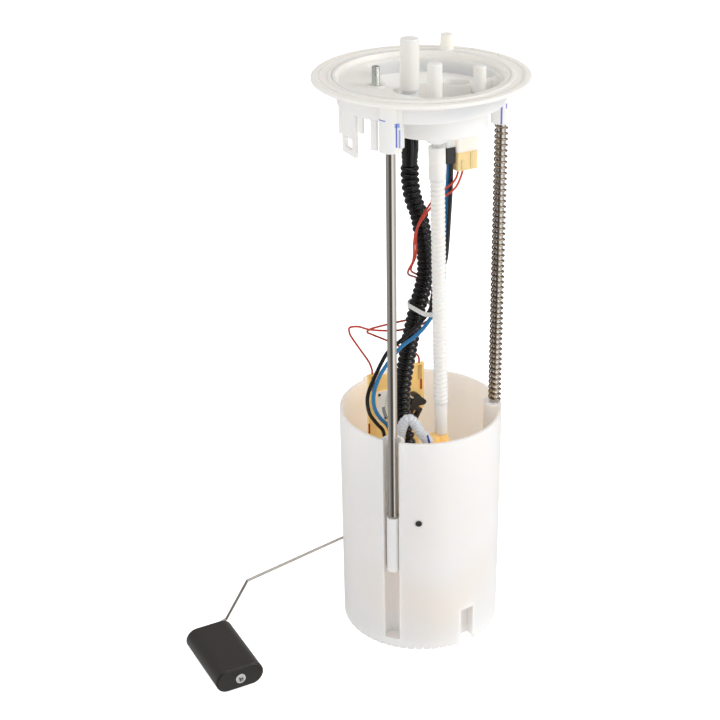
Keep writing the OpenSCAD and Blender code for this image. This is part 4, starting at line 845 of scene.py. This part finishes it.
signal_route_b = [
    (23.5, -20, 383.3), (20.5, -22.3, 379), (15, -25.3, 373.5), (9.5, -24, 368.5), (3, -17, 361),
    (-3, -11.5, 350), (-8.2, -8.5, 339), (-9.6, -7, 329), (-8.8, -5.5, 320), (-7.4, -1, 310.5),
    (-7.8, 5, 301.5), (-3, 13, 294), (6, 17.3, 288), (13.5, 14, 282.5), (15.3, 4.5, 277.8),
    (8, -6.4, 275.2), (7, -5.9, 272), (7.2, -5.4, 268.5), (8.5, 2, 258.5), (5, 12.5, 249.5),
    (-3, 16.5, 247.5), (-11, 16.5, 247.8), (-20, 15.5, 250), (-29, 15, 252.5),
    (-37, 15.5, 255), (-44, 17.5, 258), (-50, 20.5, 257.5), (-49, 23.5, 252), (-46, 25.5, 246),
    (-38, 27.5, 233), (-30, 29, 220), (-27, 29.5, 212), (-27, 29.5, 208.3)]
for node, route, radius, finish, mate, foot, head in (
        ("power_lead_black", black_route, 0.0015, power_black, "lead_black", 0.145, 0.390),
        ("power_lead_blue", blue_route, 0.0015, power_blue, "lead_blue", 0.145, 0.390),
        ("signal_lead_a", signal_route_a, 0.0008, signal_red, "lead_red", 0.208, 0.384),
        ("signal_lead_b", signal_route_b, 0.0008, signal_red, "lead_red", 0.208, 0.384)):
    lead_line = route_line(node, smooth_route(route))
    lead = grown(node + "_round", lead_line, pipe_tree, finish, Radius=radius, Sides=16)
    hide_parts(node)
    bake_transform(lead)

# Cable tie: a white nylon strap pulled round the hose and the leads, with its ratchet head
# on the side of the leads.
strap_skin = moulded("strap nylon", (0.74, 0.75, 0.74), 0.36, cloud=0.08, edge=0, deep=0.2)
hose_side, lead_side, strap_r = Vector((1.0, 5.5)), Vector((3.0, -10.0)), 8.3
strap_low, strap_high, strap_thickness = 270.1, 273.9, 0.9
lay = (lead_side - hose_side).normalized()
turn_by = math.atan2(lay.y, lay.x)


def half_loop(centre, first):
    """Half a turn of the strap's centre line round one side of the bundle."""
    return [centre + Vector((math.cos(turn_by + a), math.sin(turn_by + a))) * strap_r
            for a in [math.radians(first + 12 * i) for i in range(16)]]


loop = half_loop(lead_side, -90) + half_loop(hose_side, 90)
section = ((0.0, strap_low), (0.0, strap_high),
           (-strap_thickness, strap_high), (-strap_thickness, strap_low))
points, faces = [], []
for p in loop:
    out = (p - (hose_side + lead_side) / 2).normalized()
    points += [((p.x + out.x * r) * MM, (p.y + out.y * r) * MM, z * MM) for r, z in section]
count = len(loop)
for i in range(count):
    here, there = i * 4, (i + 1) % count * 4
    for k in range(4):
        m = (k + 1) % 4
        faces.append((here + k, there + k, there + m, here + m))
strap = new_piece("tie_strap", points, faces, strap_skin)
soften_edges(strap, 0.0002)
head_at = lead_side + lay * (strap_r + 1.2)
buckle = box_mesh("tie_head", [((head_at.x, head_at.y, 272), (3.4, 5, 4.6), math.degrees(turn_by))],
                  strap_skin, 0.0005)
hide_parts("cable_tie")
for piece in (strap, buckle):
    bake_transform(piece)
